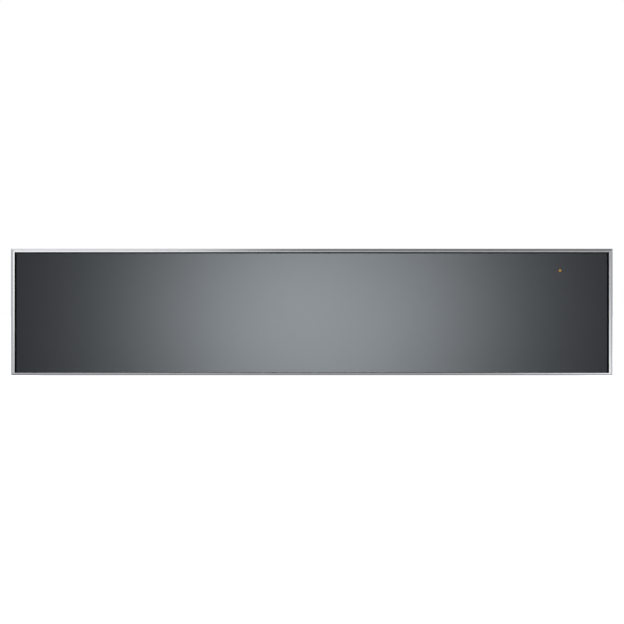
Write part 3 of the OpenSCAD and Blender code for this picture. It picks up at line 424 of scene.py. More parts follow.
def rail_steel(variant):
    """Bright zinc-plated steel with drawing lines along the rails."""
    colour = look("housing").screw_tint
    steel = Finish("rail_steel", colour, 1.0)
    lines = steel.noise((1500.0, 12.0, 1500.0), 3.0)
    bloom = steel.noise(70.0, 3.0)
    steel.tone(bloom, colour, 0.90, 1.05)
    steel.feed("Roughness", lines.spread(0.22, 0.36) + bloom.spread(0.0, 0.06))
    steel.emboss(lines, 0.008 * MM, 0.5)
    return steel


def tray_steel(variant):
    """Brushed stainless sheet: the grain runs along X, and along Y on the walls that face X."""
    colour = look("drawer").steel_tint
    along, across = 7.0, 1300.0
    steel = Finish("tray_steel", colour, 1.0)
    facing = steel.node("ShaderNodeNewGeometry", {}, {}, "Normal")
    side_wall = abs(steel.parts(facing)[0]) > 0.7
    grain_x = steel.noise((along, across, across), 3.0, 0.6)
    grain_y = steel.noise((across, along, across), 3.0, 0.6)
    grain = grain_x * (1.0 - side_wall) + grain_y * side_wall
    steel.tone(grain, colour, 0.93, 1.04)
    steel.feed("Roughness", grain.spread(0.27, 0.37) + steel.noise(11.0, 3.0).spread(-0.02, 0.03))
    steel.emboss(grain, 0.006 * MM, 0.5)
    return steel


def plate_glass(variant):
    """Polished black glass ceramic with a fine printed dot pattern inside a border line."""
    drawer = look("drawer")
    low, high, _ = box("heating_plate")
    half = (high - low) / 2
    border, line, dot = 20.0 * MM, 0.5 * MM, 0.13
    glass = Finish("plate_glass", drawer.plate_tint, 0.0, {"IOR": 1.52})
    x, y, _ = glass.around("heating_plate")
    inwards = (half.x - abs(x)).math("MINIMUM", half.y - abs(y)) - border
    dots = (glass.cells(drawer.dot_pitch, "Distance", 0.0, "2D") < dot) * (inwards > 3.0 * line)
    printed = (abs(inwards) < line).math("MAXIMUM", dots)
    glass.feed("Base Color", glass.mixed(printed, drawer.plate_tint, drawer.print_tint))
    glass.feed("Roughness", glass.noise(16.0, 3.0).spread(0.04, 0.09) + printed * 0.2)
    return glass


def mineral_board(variant):
    """Pressed mineral fibre: matted strands with darker specks."""
    colour = look("drawer").mineral_tint
    board = Finish("mineral_board", colour, 0.0, {"Specular IOR Level": 0.2})
    strands = board.noise((260.0, 90.0, 700.0), 4.0, 0.7)
    specks = board.cells(3.0 * MM)
    board.tone(strands, colour, 0.78, 1.08)
    board.feed("Roughness", specks.spread(0.86, 0.98))
    board.emboss(strands + specks * 0.4, 0.3 * MM, 0.6)
    return board


def heater_tube(variant):
    """Oxidised steel tube with brown and blue heat tint."""
    drawer = look("drawer")
    tube = Finish("heater_tube", drawer.heater_brown, 1.0)
    heat = tube.noise((14.0, 40.0, 40.0), 3.0)
    scale = tube.noise(1200.0, 3.0)
    tube.feed("Base Color", tube.mixed(heat.spread(0.0, 1.0), drawer.heater_brown, drawer.heater_blue))
    tube.feed("Roughness", scale.spread(0.38, 0.56))
    tube.emboss(scale, 0.02 * MM, 0.4)
    return tube


def control_metal(node):
    """Turned satin aluminium: fine rings round the node's own axis."""
    colour = look("controls").metal_tint
    metal = Finish("control_metal", colour, 1.0)
    x, y, _ = metal.around(node)
    rings_per_metre = 9000.0
    away = (x * x + y * y).math("SQRT") * rings_per_metre
    rings = metal.node("ShaderNodeTexNoise", {"noise_dimensions": "1D"}, {"W": away, "Detail": 2.0})
    metal.tone(rings, colour, 0.92, 1.05)
    metal.feed("Roughness", rings.spread(0.20, 0.33))
    metal.emboss(rings, 0.008 * MM, 0.5)
    return metal


def board_green(variant):
    """Green solder mask over copper tracks."""
    drawer = look("drawer")
    board = Finish("board_green", drawer.board_tint)
    tracks_per_metre = 625.0
    height = board.parts(board.place)[2]
    across = (height * tracks_per_metre).math("FRACT")
    runs = board.noise((90.0, 1.0, 90.0), 0.0) > 0.5
    tracks = (abs(across - 0.5) < 0.2) * runs
    board.feed("Base Color", board.mixed(tracks, drawer.board_tint, drawer.copper_tint))
    board.feed("Roughness", board.noise((3000.0, 1.0, 900.0)).spread(0.24, 0.36))
    board.emboss(tracks, 0.04 * MM, 0.5)
    return board


MAKERS = {
    make.__name__: make
    for make in (
        frame_steel, panel_glass, indicator, zinc_sheet, rail_steel, tray_steel, plate_glass, mineral_board,
        heater_tube, control_metal, board_green,
    )
}
FINISHES = {}


def finish(name, variant=None):
    """The material of a finish, made when it is first asked for."""
    if (name, variant) not in FINISHES:
        made = MAKERS[name](variant) if name in MAKERS else noisy(f"{name}_{variant}" if variant else name)
        FINISHES[name, variant] = made.material
    return FINISHES[name, variant]


# ---------------- meshes


UP, DOWN = Vector((0.0, 0.0, 1.0)), Vector((0.0, 0.0, -1.0))
FORWARDS, BACKWARDS = Vector((0.0, -1.0, 0.0)), Vector((0.0, 1.0, 0.0))
TOUCHING = 1e-6


def box(node):
    """The lowest and highest corners of a CAD node, and its middle."""
    low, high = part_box(node)
    return low, high, (low + high) / 2


def linked(name, data):
    """A new object in the scene."""
    made = bpy.data.objects.new(name, data)
    bpy.context.scene.collection.objects.link(made)
    return made


def shaded(bm, name, material):
    """Makes a mesh an object with smooth shading."""
    mesh = bpy.data.meshes.new(name)
    bm.to_mesh(mesh)
    bm.free()
    mesh.shade_smooth()
    mesh.materials.append(material)
    return linked(name, mesh)


def settle(bm, name, node, material=None, smooth=30.0, replaces=True):
    """Makes a mesh a piece: it rides on the node's body, stands for the node and takes its finish."""
    piece = shaded(bm, name, material or finish(SLOT[node]))
    piece.data.set_sharp_from_angle(angle=math.radians(smooth))
    piece.modifiers.new("even_shading", "WEIGHTED_NORMAL").keep_sharp = True
    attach(piece, BODY[node])
    if replaces:
        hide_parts(node)
    return piece


def settle_between(bm, name, node):
    """Makes a mesh a smooth-shaded piece with the node's finish, hides the node and keeps the piece where it is
    made, on no body.
    """
    piece = shaded(bm, name, finish(SLOT[node]))
    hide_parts(node)
    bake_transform(piece)


def cad_copy(node):
    """A mesh of a CAD node with its loose triangles joined into whole faces."""
    bm = bmesh.new()
    bm.from_mesh(CAD[node].data)
    bmesh.ops.remove_doubles(bm, verts=bm.verts, dist=0.0005 * MM)
    bmesh.ops.dissolve_limit(bm, angle_limit=math.radians(0.4), verts=bm.verts, edges=bm.edges)
    return bm


def mesh_of(data):
    """A mesh of a curve or a text, which is removed."""
    holder = linked(data.name, data)
    graph = bpy.context.evaluated_depsgraph_get()
    bm = bmesh.new()
    bm.from_mesh(holder.evaluated_get(graph).to_mesh())
    bpy.data.objects.remove(holder)
    bpy.data.curves.remove(data)
    return bm


def round_edges(bm, edges, radius, segments=2, affect="EDGES"):
    """Rounds edges, or the corners of a flat outline."""
    bmesh.ops.bevel(
        bm, geom=edges, offset=radius, offset_type="OFFSET", affect=affect, segments=segments, profile=0.5,
        material=-1, clamp_overlap=affect == "EDGES",
    )


def sharp_edges(bm, shortest, angle=40.0):
    """Edges longer than a limit at which the surface turns sharply."""
    return [
        edge
        for edge in bm.edges
        if edge.is_manifold
        and edge.calc_length() > shortest
        and edge.calc_face_angle(0.0) > math.radians(angle)
    ]


def formed(node, radius, variant=None, shortest=4.0 * MM, segments=2, angle=40.0):
    """The CAD node's own shape with its long edges softened."""
    bm = cad_copy(node)
    round_edges(bm, sharp_edges(bm, shortest, angle), radius, segments)
    settle(bm, node + "_formed", node, finish(SLOT[node], variant), min(30.0, angle))


def island(seed):
    """A vertex and all that edges join to it."""
    found, queue = {seed}, [seed]
    for vert in queue:
        for edge in vert.link_edges:
            other = edge.other_vert(vert)
            if other not in found:
                found.add(other)
                queue.append(other)
    return found


def corners(verts):
    """The lowest and highest corners round some vertices."""
    return [Vector(pick(vert.co[i] for vert in verts) for i in range(3)) for pick in (min, max)]


def solids(node):
    """The lowest and highest corners of each separate solid of a CAD node."""
    bm = cad_copy(node)
    left = set(bm.verts)
    found = []
    while left:
        solid = island(next(iter(left)))
        left -= solid
        found.append(corners(solid))
    bm.free()
    return sorted(found, key=lambda pair: tuple(round(part, 5) for part in pair[0]))


def underside(node):
    """The lowest and highest corners of a CAD node's underside."""
    bm = cad_copy(node)
    ground = min(vert.co.z for vert in bm.verts)
    found = corners([vert for vert in bm.verts if vert.co.z < ground + 0.01 * MM])
    bm.free()
    return found


def towards(at, axis):
    """Stands a shape made along +Z at a place, along an axis."""
    return Matrix.Translation(at) @ Vector(axis).to_track_quat("Z", "Y").to_matrix().to_4x4()


def fitted(low, high, axis):
    """A round body that fills a box along an axis: its seat, its height and its radius."""
    size = high - low
    height = abs(size.dot(axis))
    radius = max(size[i] for i in range(3) if not axis[i]) / 2
    return towards((low + high) / 2 - axis * height / 2, axis), height, radius


def turned(bm, radius, height, seat, segments=32, top=None, nose=0.0, steps=4):
    """A turned body from its foot up, its top's rim rounded by nose: gives back its vertices."""
    made = bmesh.ops.create_cone(
        bm, cap_ends=True, segments=segments, radius1=radius, radius2=radius if top is None else top,
        depth=height, matrix=seat @ Matrix.Translation((0.0, 0.0, height / 2)),
    )["verts"]
    if nose:
        round_edges(bm, list(top_face(made, seat).edges), nose, steps)
    return made


def top_face(verts, seat):
    """The end face of a turned body that looks along its seat's Z."""
    up = (seat.to_3x3() @ UP).normalized()
    faces = {face for vert in verts for face in vert.link_faces if all(v in verts for v in face.verts)}
    return max(faces, key=lambda face: (round(face.normal.dot(up), 3), face.calc_area()))


def pushed(bm, face, way):
    """Extrudes a face along a vector, and gives back the moved face."""
    made = bmesh.ops.extrude_face_region(bm, geom=[face])["geom"]
    verts = [part for part in made if isinstance(part, bmesh.types.BMVert)]
    bmesh.ops.translate(bm, verts=verts, vec=way)
    return next(part for part in made if isinstance(part, bmesh.types.BMFace))


def sink(bm, face, inset, depth, squeeze=None):
    """Insets a face and sinks it; squeeze turns the inset outline into another shape first."""
    normal = face.normal.copy()
    bmesh.ops.inset_region(bm, faces=[face], thickness=inset, use_even_offset=True)
    if squeeze:
        squeeze(face)
    pushed(bm, face, -normal * depth)
    bmesh.ops.delete(bm, geom=[face], context="FACES_ONLY")


def six_lobes(seat, radius):
    """Turns a round outline into the outline of a six-lobe drive."""
    back = seat.inverted()
    lobe_depth = 0.13

    def squeeze(face):
        for vert in face.verts:
            at = back @ vert.co
            angle = math.atan2(at.y, at.x)
            reach = radius * (1.0 + lobe_depth * math.cos(6.0 * angle))
            vert.co = seat @ Vector((reach * math.cos(angle), reach * math.sin(angle), at.z))

    return squeeze


def headed(bm, low, high, axis, shank, head_h, segments, taper=1.0):
    """A shank (radius, segments) and a head that fill a box: gives back the head, its radius and its seat."""
    foot, reach, head_r = fitted(low, high, axis)
    turned(bm, shank[0], reach - head_h, foot, shank[1])
    seat = foot @ Matrix.Translation((0.0, 0.0, reach - head_h))
    return turned(bm, head_r, head_h, seat, segments, head_r * taper), head_r, seat


def add_screw(bm, low, high, axis):
    """A pan-head screw: shank, rounded head and six-lobe drive."""
    recess = look("housing").screw_recess
    drive_depth, rim_radius, head_h = 0.8 * MM, 0.55 * MM, 1.2 * MM
    head, head_r, seat = headed(bm, low, high, axis, (1.9 * MM, 12), head_h, 36)
    sink(bm, top_face(head, seat), head_r - recess, drive_depth, six_lobes(seat, recess))
    middle = (low + high) / 2
    top = (seat @ Vector((0.0, 0.0, head_h))).dot(axis)
    rim = {
        edge
        for vert in head
        if vert.is_valid
        for edge in vert.link_edges
        if all(abs(v.co.dot(axis) - top) < 0.01 * MM for v in edge.verts)
        and all(abs((v.co - middle).cross(axis).length - head_r) < 0.02 * MM for v in edge.verts)
    }
    round_edges(bm, list(rim), rim_radius, 3)


def add_rivet(bm, low, high, axis):
    """A pop rivet: domed head with the broken mandrel sunk in its middle."""
    taper, mandrel_r, mandrel_depth = 0.72, 1.1 * MM, 0.5 * MM
    head, head_r, seat = headed(bm, low, high, axis, (2.2 * MM, 16), 1.0 * MM, 32, taper)
    sink(bm, top_face(head, seat), head_r * taper - mandrel_r, mandrel_depth)


def outline(bm, low, high, z, radius, segments=8):
    """A level face with round corners, looking up."""
    points = [(low.x, low.y), (high.x, low.y), (high.x, high.y), (low.x, high.y)]
    face = bm.faces.new([bm.verts.new((x, y, z)) for x, y in points])
    round_edges(bm, list(face.verts), radius, segments, "VERTICES")
    bm.faces.ensure_lookup_table()
    return [face for face in bm.faces if abs(face.calc_center_median().z - z) < TOUCHING][-1]


def slab(low, high, radius):
    """A level plate with round upright corners."""
    bm = bmesh.new()
    pushed(bm, outline(bm, low, high, low.z, radius), (0.0, 0.0, high.z - low.z))
    bmesh.ops.recalc_face_normals(bm, faces=bm.faces)
    return bm


def level_edges(bm, z):
    """Edges that lie at a height."""
    return [edge for edge in bm.edges if all(abs(vert.co.z - z) < TOUCHING for vert in edge.verts)]


def cut(piece, cutter):
    """Cuts a mesh's solids out of a piece."""
    mesh = bpy.data.meshes.new("cutter")
    bmesh.ops.recalc_face_normals(cutter, faces=cutter.faces)
    cutter.to_mesh(mesh)
    cutter.free()
    tool = linked("cutter", mesh)
    boolean = piece.modifiers.new("cut", "BOOLEAN")
    boolean.operation = "DIFFERENCE"
    boolean.solver = "EXACT"
    boolean.object = tool
    bake_modifiers(piece)
    bpy.data.objects.remove(tool)
    bpy.data.meshes.remove(mesh)


def bake_modifiers(piece):
    """Puts what the modifiers make into the piece's mesh."""
    graph = bpy.context.evaluated_depsgraph_get()
    made = bpy.data.meshes.new_from_object(piece.evaluated_get(graph), depsgraph=graph)
    old = piece.data
    piece.modifiers.clear()
    piece.data = made
    made.name = piece.name
    bpy.data.meshes.remove(old)


def add_slot(bm, at, width, tall, reach):
    """An upright slot cutter with round ends, centred, running along Y."""
    made = bmesh.ops.create_circle(bm, cap_ends=True, segments=12, radius=width / 2)["verts"]
    bmesh.ops.rotate(bm, verts=made, cent=(0.0, 0.0, 0.0), matrix=Matrix.Rotation(math.pi / 2, 3, "X"))
    for sign in (-1.0, 1.0):
        half = [vert for vert in made if vert.co.z * sign > 0.1 * TOUCHING]
        bmesh.ops.translate(bm, verts=half, vec=(0.0, 0.0, sign * (tall - width) / 2))
    bmesh.ops.translate(bm, verts=made, vec=(at.x, at.y - reach / 2, at.z))
    pushed(bm, made[0].link_faces[0], (0.0, reach, 0.0))


def add_block(bm, low, high):
    """A block between two corners: gives back its vertices."""
    size = Vector(high) - Vector(low)
    place = Matrix.Translation((Vector(low) + Vector(high)) / 2) @ Matrix.Diagonal((*size, 1.0))
    return bmesh.ops.create_cube(bm, size=1.0, matrix=place)["verts"]


# ---------------- pieces of the front and the housing


def lamp_part(node, name, flange, narrower, nose, steps, segments):
    """A round part of the indicator that looks forwards: a flange, and a domed stem narrower than it."""
    seat, height, radius = fitted(*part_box(node), FORWARDS)
    bm = bmesh.new()
    turned(bm, radius, flange, seat, segments)
    turned(bm, radius - narrower, height, seat, segments, nose=nose, steps=steps)
    settle(bm, name, node)


def gland():
    """A lock nut inside, a hexagon against the sheet and a ribbed, domed nut round the seal."""
    low, high, middle = box("cable_gland")
    sheet_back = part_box("case_rear")[1].y
    sheet = 1.0 * MM
    nut_h, hexagon_h = 4.0 * MM, 6.0 * MM
    bore_r = 4.2 * MM
    thread_r = bore_r + 3.0 * MM
    dome_r = thread_r + 1.5 * MM
    hexagon_edge, dome_edge = 0.7 * MM, 2.4 * MM
    groove = 0.955  # how far out the valleys between the ribs reach, as a share of the radius
    past = 1.0 * MM

    def at(y):
        return towards((middle.x, y, middle.z), BACKWARDS)

    bm = bmesh.new()
    for start, height in ((sheet_back - sheet - nut_h, nut_h), (sheet_back, hexagon_h)):
        hexagon = turned(bm, (high.x - low.x) / 2, height, at(start), 6)
        faces = {face for vert in hexagon for face in vert.link_faces}
        rims = {edge for face in faces if len(face.verts) == 6 for edge in face.edges}
        round_edges(bm, list(rims), hexagon_edge)
    turned(bm, thread_r, sheet_back - low.y, at(low.y), 40)
    ribs = look("housing").rib_count
    nut = turned(bm, dome_r, high.y - sheet_back - hexagon_h, at(sheet_back + hexagon_h), ribs * 4)
    for vert in nut:
        on_axis = Vector((middle.x, vert.co.y, middle.z))
        away = vert.co - on_axis
        if math.cos(ribs * math.atan2(away.z, away.x)) < -0.5:
            vert.co = on_axis + groove * away
    round_edges(bm, list(top_face(nut, at(low.y)).edges), dome_edge, 5)
    piece = settle(bm, "cable_gland_moulded", "cable_gland")
    bore = bmesh.new()
    turned(bore, bore_r, high.y - low.y + 2.0 * past, at(low.y - past), 40)
    cut(piece, bore)


def lead():
    """The lead's route through its corners, all of them right angles, as one round tube."""
    route = [(0.176, 0.243), (-0.170, 0.243), (-0.170, 0.219), (-0.040, 0.219), (-0.040, 0.199)]
    height, bend = 46.0 * MM, 11.5 * MM
    circle_handle = 0.5523
    low, high, _ = box("drawer_lead")
    curve = bpy.data.curves.new("lead_route", "CURVE")
    curve.dimensions = "3D"
    curve.bevel_depth = (high.z - low.z) / 2
    curve.bevel_resolution = 3
    curve.resolution_u = 10
    curve.use_fill_caps = True
    stops = [Vector((*point, height)) for point in route]
    knots = [(stops[0], stops[0], stops[0])]
    for before, corner, after in zip(stops, stops[1:], stops[2:]):
        for end, leaving in ((before, False), (after, True)):
            way = (end - corner).normalized() * bend
            inner, outer = (corner + way * (1.0 + sign * circle_handle) for sign in (-1.0, 1.0))
            knots.append((corner + way, inner, outer) if leaving else (corner + way, outer, inner))
    knots.append((stops[-1], stops[-1], stops[-1]))
    spline = curve.splines.new("BEZIER")
    spline.bezier_points.add(len(knots) - 1)
    for point, (knot, left, right) in zip(spline.bezier_points, knots):
        point.handle_left_type = point.handle_right_type = "FREE"
        point.co, point.handle_left, point.handle_right = knot, left, right
    bm = mesh_of(curve)
    bmesh.ops.remove_doubles(bm, verts=bm.verts, dist=0.001 * MM)
    bmesh.ops.recalc_face_normals(bm, faces=bm.faces)
    # Where the straight bit between the two bends beside the drawer ends; nothing uses it
    end = (0.0, min(route[1][1], route[2][1]) + bend, height)
    settle_between(bm, "drawer_lead_sleeve", "drawer_lead")


def latch_rod(node, away, nose):
    """A round rod whose rounded end looks away from its own side of the latch."""
    seat, height, radius = fitted(*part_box(node), away)
    bm = bmesh.new()
    turned(bm, radius, height, seat, 40, nose=nose, steps=5)
    settle(bm, node + "_turned", node)


def spring():
    """A coil spring between the latch body and its plunger."""
    low, high, middle = box("latch_spring")
    wire_r = 0.45 * MM
    coil_r = (high.x - low.x) / 2 - wire_r
    turns, steps = 6, 16
    bm = bmesh.new()
    ring = bmesh.ops.create_circle(
        bm, segments=8, radius=wire_r,
        matrix=Matrix.Translation((middle.x + coil_r, low.y + wire_r, middle.z)),
    )["verts"]
    rise = (high.y - low.y - 2.0 * wire_r) / (turns * steps)
    bmesh.ops.spin(
        bm, geom=list({edge for vert in ring for edge in vert.link_edges}), cent=middle, axis=BACKWARDS,
        dvec=(0.0, rise, 0.0), angle=2.0 * math.pi * turns, steps=turns * steps,
    )
    bmesh.ops.holes_fill(bm, edges=[edge for edge in bm.edges if edge.is_boundary])
    bmesh.ops.recalc_face_normals(bm, faces=bm.faces)
    settle_between(bm, "latch_spring_coil", "latch_spring")


# ---------------- pieces of the drawer


def retainer(node):
    """A ball retainer: the folded strip, which is longer than a ball, and its balls."""
    ball_limit = 4.0 * MM
    bm = cad_copy(node)
    strip = island(max(bm.verts, key=lambda vert: vert.co.y))
    bmesh.ops.delete(bm, geom=[vert for vert in bm.verts if vert not in strip], context="VERTS")
    round_edges(bm, sharp_edges(bm, ball_limit), 0.15 * MM)
    settle(bm, node + "_strip", node, finish("rail_steel"))

    bm = bmesh.new()
    for low, high in solids(node):
        if (high - low).length < 2.0 * ball_limit:
            bmesh.ops.create_uvsphere(
                bm, u_segments=20, v_segments=12, radius=(high.y - low.y) / 2,
                matrix=Matrix.Translation((low + high) / 2),
            )
    settle(bm, node + "_balls", node, smooth=80.0)


def tub():
    """The tray, pressed from one sheet: walls and floor inside a flat rim."""
    drawer = look("drawer")
    low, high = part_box("tray_liner")
    foot = underside("tray_liner")
    wall = Vector((drawer.sheet, drawer.sheet, 0.0))
    bm = bmesh.new()
    mouth = outline(bm, foot[0] + wall, foot[1] - wall, high.z, drawer.corner_radius, 10)
    floor = pushed(bm, mouth, (0.0, 0.0, low.z + drawer.sheet - high.z))
    if mouth.is_valid:
        bmesh.ops.delete(bm, geom=[mouth], context="FACES_ONLY")
    mouth_edges = level_edges(bm, high.z)
    points = [(low.x, low.y), (high.x, low.y), (high.x, high.y), (low.x, high.y)]
    rim = [bm.verts.new((x, y, high.z)) for x, y in points]
    rim_edges = [bm.edges.new((rim[i], rim[(i + 1) % 4])) for i in range(4)]
    bmesh.ops.triangle_fill(bm, use_beauty=True, edges=mouth_edges + rim_edges)
    bmesh.ops.recalc_face_normals(bm, faces=bm.faces)
    if floor.normal.z < 0:
        bmesh.ops.reverse_faces(bm, faces=bm.faces)
    round_edges(bm, list(floor.edges), drawer.floor_radius, 6)
    round_edges(bm, [edge for edge in mouth_edges if edge.is_valid], drawer.rim_radius, 3)
    piece = settle(bm, "tray_liner_pressed", "tray_liner", smooth=50.0)
    sheet = piece.modifiers.new("sheet", "SOLIDIFY")
    sheet.thickness = drawer.sheet
    sheet.offset = -1.0
    sheet.use_even_offset = True
    bake_modifiers(piece)
    cut(piece, openings(low, foot[1]))


def openings(low, rear):
    """Cutters for the hole under the glass, the fan's intake and the rows of air outlets."""
    half_reach = 5.0 * MM
    lap = Vector((12.0 * MM, 12.0 * MM, 0.0))
    plate_low, plate_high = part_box("heating_plate")
    hole_low = Vector((*plate_low.xy, low.z - half_reach)) + lap
    hole_high = Vector((*plate_high.xy, low.z + half_reach)) - lap
    bm = slab(hole_low, hole_high, look("drawer").cutout_radius)
    wheel_low, wheel_high, hub = box("fan_wheel")
    intake_r = (wheel_high.x - wheel_low.x) / 2 - 6.0 * MM
    seat = towards((0.0, rear.y - half_reach, hub.z), BACKWARDS)
    turned(bm, intake_r, 2.0 * half_reach, seat, 64)
    pitch, count = 10.0 * MM, 12
    width, tall, above_plate, inwards = 4.0 * MM, 30.0 * MM, 28.0 * MM, 100.0 * MM
    for side in (-1.0, 1.0):
        for i in range(count):
            x = side * (rear.x - inwards) + (i - (count - 1) / 2) * pitch
            add_slot(bm, Vector((x, rear.y, plate_low.z + above_plate)), width, tall, 2.0 * half_reach)
    return bm


def plate():
    """The glass plate with its edges ground round."""
    drawer = look("drawer")
    low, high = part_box("heating_plate")
    bm = slab(low, high, drawer.plate_corner)
    for z in (low.z, high.z):
        round_edges(bm, level_edges(bm, z), drawer.plate_edge, 4)
    settle(bm, "heating_plate_ground", "heating_plate")


# ---------------- pieces of the controls


def knob():
    """A fluted knob with a plain foot ring, a dished top and a white pointer line."""
    node = "temperature_knob"
    low, high, middle = box(node)
    seat, height, radius = fitted(low, high, UP)
    ring_h, ring_w = 2.0 * MM, 1.2 * MM
    flute_r, flute_depth, flute_pitch = 4.0 * MM, 1.0 * MM, math.radians(30.0)
    flute_centre = radius + flute_r - flute_depth
    rim_radius, rim_w, dish = 0.7 * MM, 1.5 * MM, 0.25 * MM
    shaft_r, shaft_h = 3.05 * MM, 8.9 * MM
    segments = 144
    past = 1.0 * MM
    bm = bmesh.new()
    sink(bm, top_face(turned(bm, radius, ring_h, seat, segments), seat), ring_w, 0.0)
    upper = seat @ Matrix.Translation((0.0, 0.0, ring_h))
    body = turned(bm, radius, height - ring_h, upper, segments)
    for vert in body:
        away = vert.co.xy - middle.xy
        off = math.atan2(away.y, away.x) % flute_pitch - flute_pitch / 2
        reach = flute_centre * math.cos(off)
        inside = flute_r**2 - (flute_centre * math.sin(off)) ** 2
        if inside > 0.0:
            vert.co.xy = middle.xy + away * min(1.0, (reach - math.sqrt(inside)) / radius)
    round_edges(bm, list(top_face(body, upper).edges), rim_radius, 4)
    level = [face for face in bm.faces if face.normal.z > 0.99]
    sink(bm, max(level, key=lambda face: face.calc_area()), rim_w, dish)
    piece = settle(bm, node + "_turned", node, finish("control_metal", node))

    cutter = bmesh.new()
    turned(cutter, shaft_r, shaft_h + past, seat @ Matrix.Translation((0.0, 0.0, -past)))
    pointer_low = Vector((middle.x - 0.6 * MM, low.y - past, high.z - 0.5 * MM))
    pointer_high = Vector((middle.x + 0.6 * MM, middle.y - 3.0 * MM, high.z + past))
    add_block(cutter, pointer_low, pointer_high)
    cut(piece, cutter)
    bm = bmesh.new()
    add_block(
        bm, (pointer_low.x, middle.y - radius + 1.7 * MM, pointer_low.z - 0.1 * MM),
        (pointer_high.x, pointer_high.y, high.z - 0.3 * MM),
    )
    settle(bm, node + "_pointer", node, finish("dial_print"))


def button():
    """A round button with a soft rim and a shallow dish."""
    node = "power_button"
    seat, height, radius = fitted(*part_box(node), UP)
    flange_h, cap_r, cap_edge = 1.6 * MM, 6.5 * MM, 0.9 * MM
    rim_w, dish = 1.0 * MM, 0.2 * MM
    bm = bmesh.new()
    turned(bm, radius, flange_h, seat, 48)
    turned(bm, cap_r, height, seat, 64, nose=cap_edge, steps=5)
    level = [face for face in bm.faces if face.normal.z > 0.99]
    sink(bm, max(level, key=lambda face: face.calc_center_median().z), rim_w, dish)
    settle(bm, node + "_turned", node, finish("control_metal", node))


def print_on_panel(bm, name):
    """Makes a mesh a print on the control panel."""
    settle(bm, name, "control_panel", finish("dial_print"), replaces=False)


def dial():
    """Ticks and numerals round the knob, with the power mark, as thin raised print."""
    controls = look("controls")
    _, _, centre = box("temperature_knob")
    centre.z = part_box("control_panel")[1].z
    joint = next(j for j in frame["joints"] if j["name"] == "temperature_turn")
    sweep = math.radians(joint["range_deg"][1])
    short_tick, ink = 0.6, 0.04 * MM
    half = controls.mark_width / 2
    bm = bmesh.new()
    ticks = controls.steps * 2
    for i in range(ticks + 1):
        reach = controls.tick_start + controls.tick_length * (short_tick if i % 2 else 1.0)
        turn = Matrix.Rotation(-math.pi / 2 - sweep * i / ticks, 4, "Z")
        tick = add_block(bm, (controls.tick_start, -half, -ink), (reach, half, ink))
        bmesh.ops.transform(bm, matrix=Matrix.Translation(centre) @ turn, verts=tick)
    power_mark(bm, centre.z, ink)
    print_on_panel(bm, "dial_ticks")
    for i in range(controls.steps + 1):
        angle = -math.pi / 2 - sweep * i / controls.steps
        spot = Vector((math.cos(angle), math.sin(angle), 0.0)) * controls.numeral_radius
        numeral(str(i), centre + spot, ink)


def power_mark(bm, z, ink):
    """An open ring with a bar in its gap."""
    low, _, middle = box("power_button")
    beside, radius = 5.0 * MM, 1.9 * MM
    bar_start, bar_end = 0.5 * MM, 2.7 * MM
    centre = Vector((low.x - beside, middle.y, z))
    half = look("controls").mark_width / 2
    gap = math.radians(70.0)
    start = math.pi / 2 + gap / 2
    block = add_block(bm, (radius - half, -ink * 0.5, -ink), (radius + half, ink * 0.5, ink))
    turn = Matrix.Translation(centre) @ Matrix.Rotation(start, 4, "Z")
    bmesh.ops.transform(bm, matrix=turn, verts=block)
    onwards = Vector((-math.sin(start), math.cos(start), 0.0))
    faces = {face for vert in block for face in vert.link_faces}
    end_face = max(faces, key=lambda face: face.normal.dot(onwards))
    bmesh.ops.spin(
        bm, geom=[end_face, *end_face.edges, *end_face.verts], cent=centre, axis=UP,
        angle=2.0 * math.pi - gap, steps=40,
    )
    add_block(bm, centre + Vector((-half, bar_start, -ink)), centre + Vector((half, bar_end, ink)))


def numeral(text, at, ink):
    """A numeral as a raised mesh, upright for someone in front of the drawer."""
    size_for_height = 1.35
    font = bpy.data.curves.new("numeral", "FONT")
    font.body = text
    font.size = look("controls").numeral_height * size_for_height
    font.extrude = ink
    font.align_x = font.align_y = "CENTER"
    bm = mesh_of(font)
    bmesh.ops.translate(bm, verts=bm.verts, vec=at)
    print_on_panel(bm, "dial_numeral_" + text)


# ---------------- the studio


def pale_floor():
    """A level floor, bright in itself so that only a soft contact shadow is left."""
    grey = (0.8, 0.8, 0.8)
    bm = bmesh.new()
    bmesh.ops.create_grid(bm, x_segments=1, y_segments=1, size=look("studio").floor_size / 2)
    glow = {"Emission Strength": 0.93, "Emission Color": (1.0, 1.0, 1.0, 1.0)}
    pale = Finish("floor_pale", grey, 0.0, {"Roughness": 0.9} | glow)
    pale.tone(pale.noise(3.0), grey, 0.99, 1.0)
    floor = shaded(bm, "floor", pale.material)
    floor.visible_glossy = False
    floor.visible_shadow = False


def surroundings():
    """White behind the object; for its reflections a grey room, darkest behind the camera."""
    world = bpy.data.worlds.new("studio")
    bpy.context.scene.world = world
    world.use_nodes = True
    room = Shading(world.node_tree)
    x, y, z = room.parts(room.node("ShaderNodeTexCoord", {}, {}, "Generated"))
    edge_of_dark, heart_of_dark = -0.74, -0.90
    around = y.spread(1.0, 0.0, edge_of_dark, heart_of_dark)
    far_wall = y.spread(0.0, 0.35, 0.0, 1.0)
    side_walls = abs(x) * 0.28 - x * 0.06
    everywhere, faint = 0.23, 0.008
    level = around * (side_walls + far_wall - z * 0.05 + everywhere) + faint
    cool = 1.03
    grey = room.node("ShaderNodeCombineXYZ", {}, [level, level, level * cool])
    studio = room.node("ShaderNodeBackground", {}, {"Color": grey, "Strength": 1.0})
    white = room.node("ShaderNodeBackground", {}, {"Color": (1.0, 1.0, 1.0, 1.0), "Strength": 1.0})
    seen = room.node("ShaderNodeLightPath", {}, {}, "Is Camera Ray")
    both = room.node("ShaderNodeMixShader", {}, [seen, studio, white])
    room.node("ShaderNodeOutputWorld", {}, {"Surface": both})


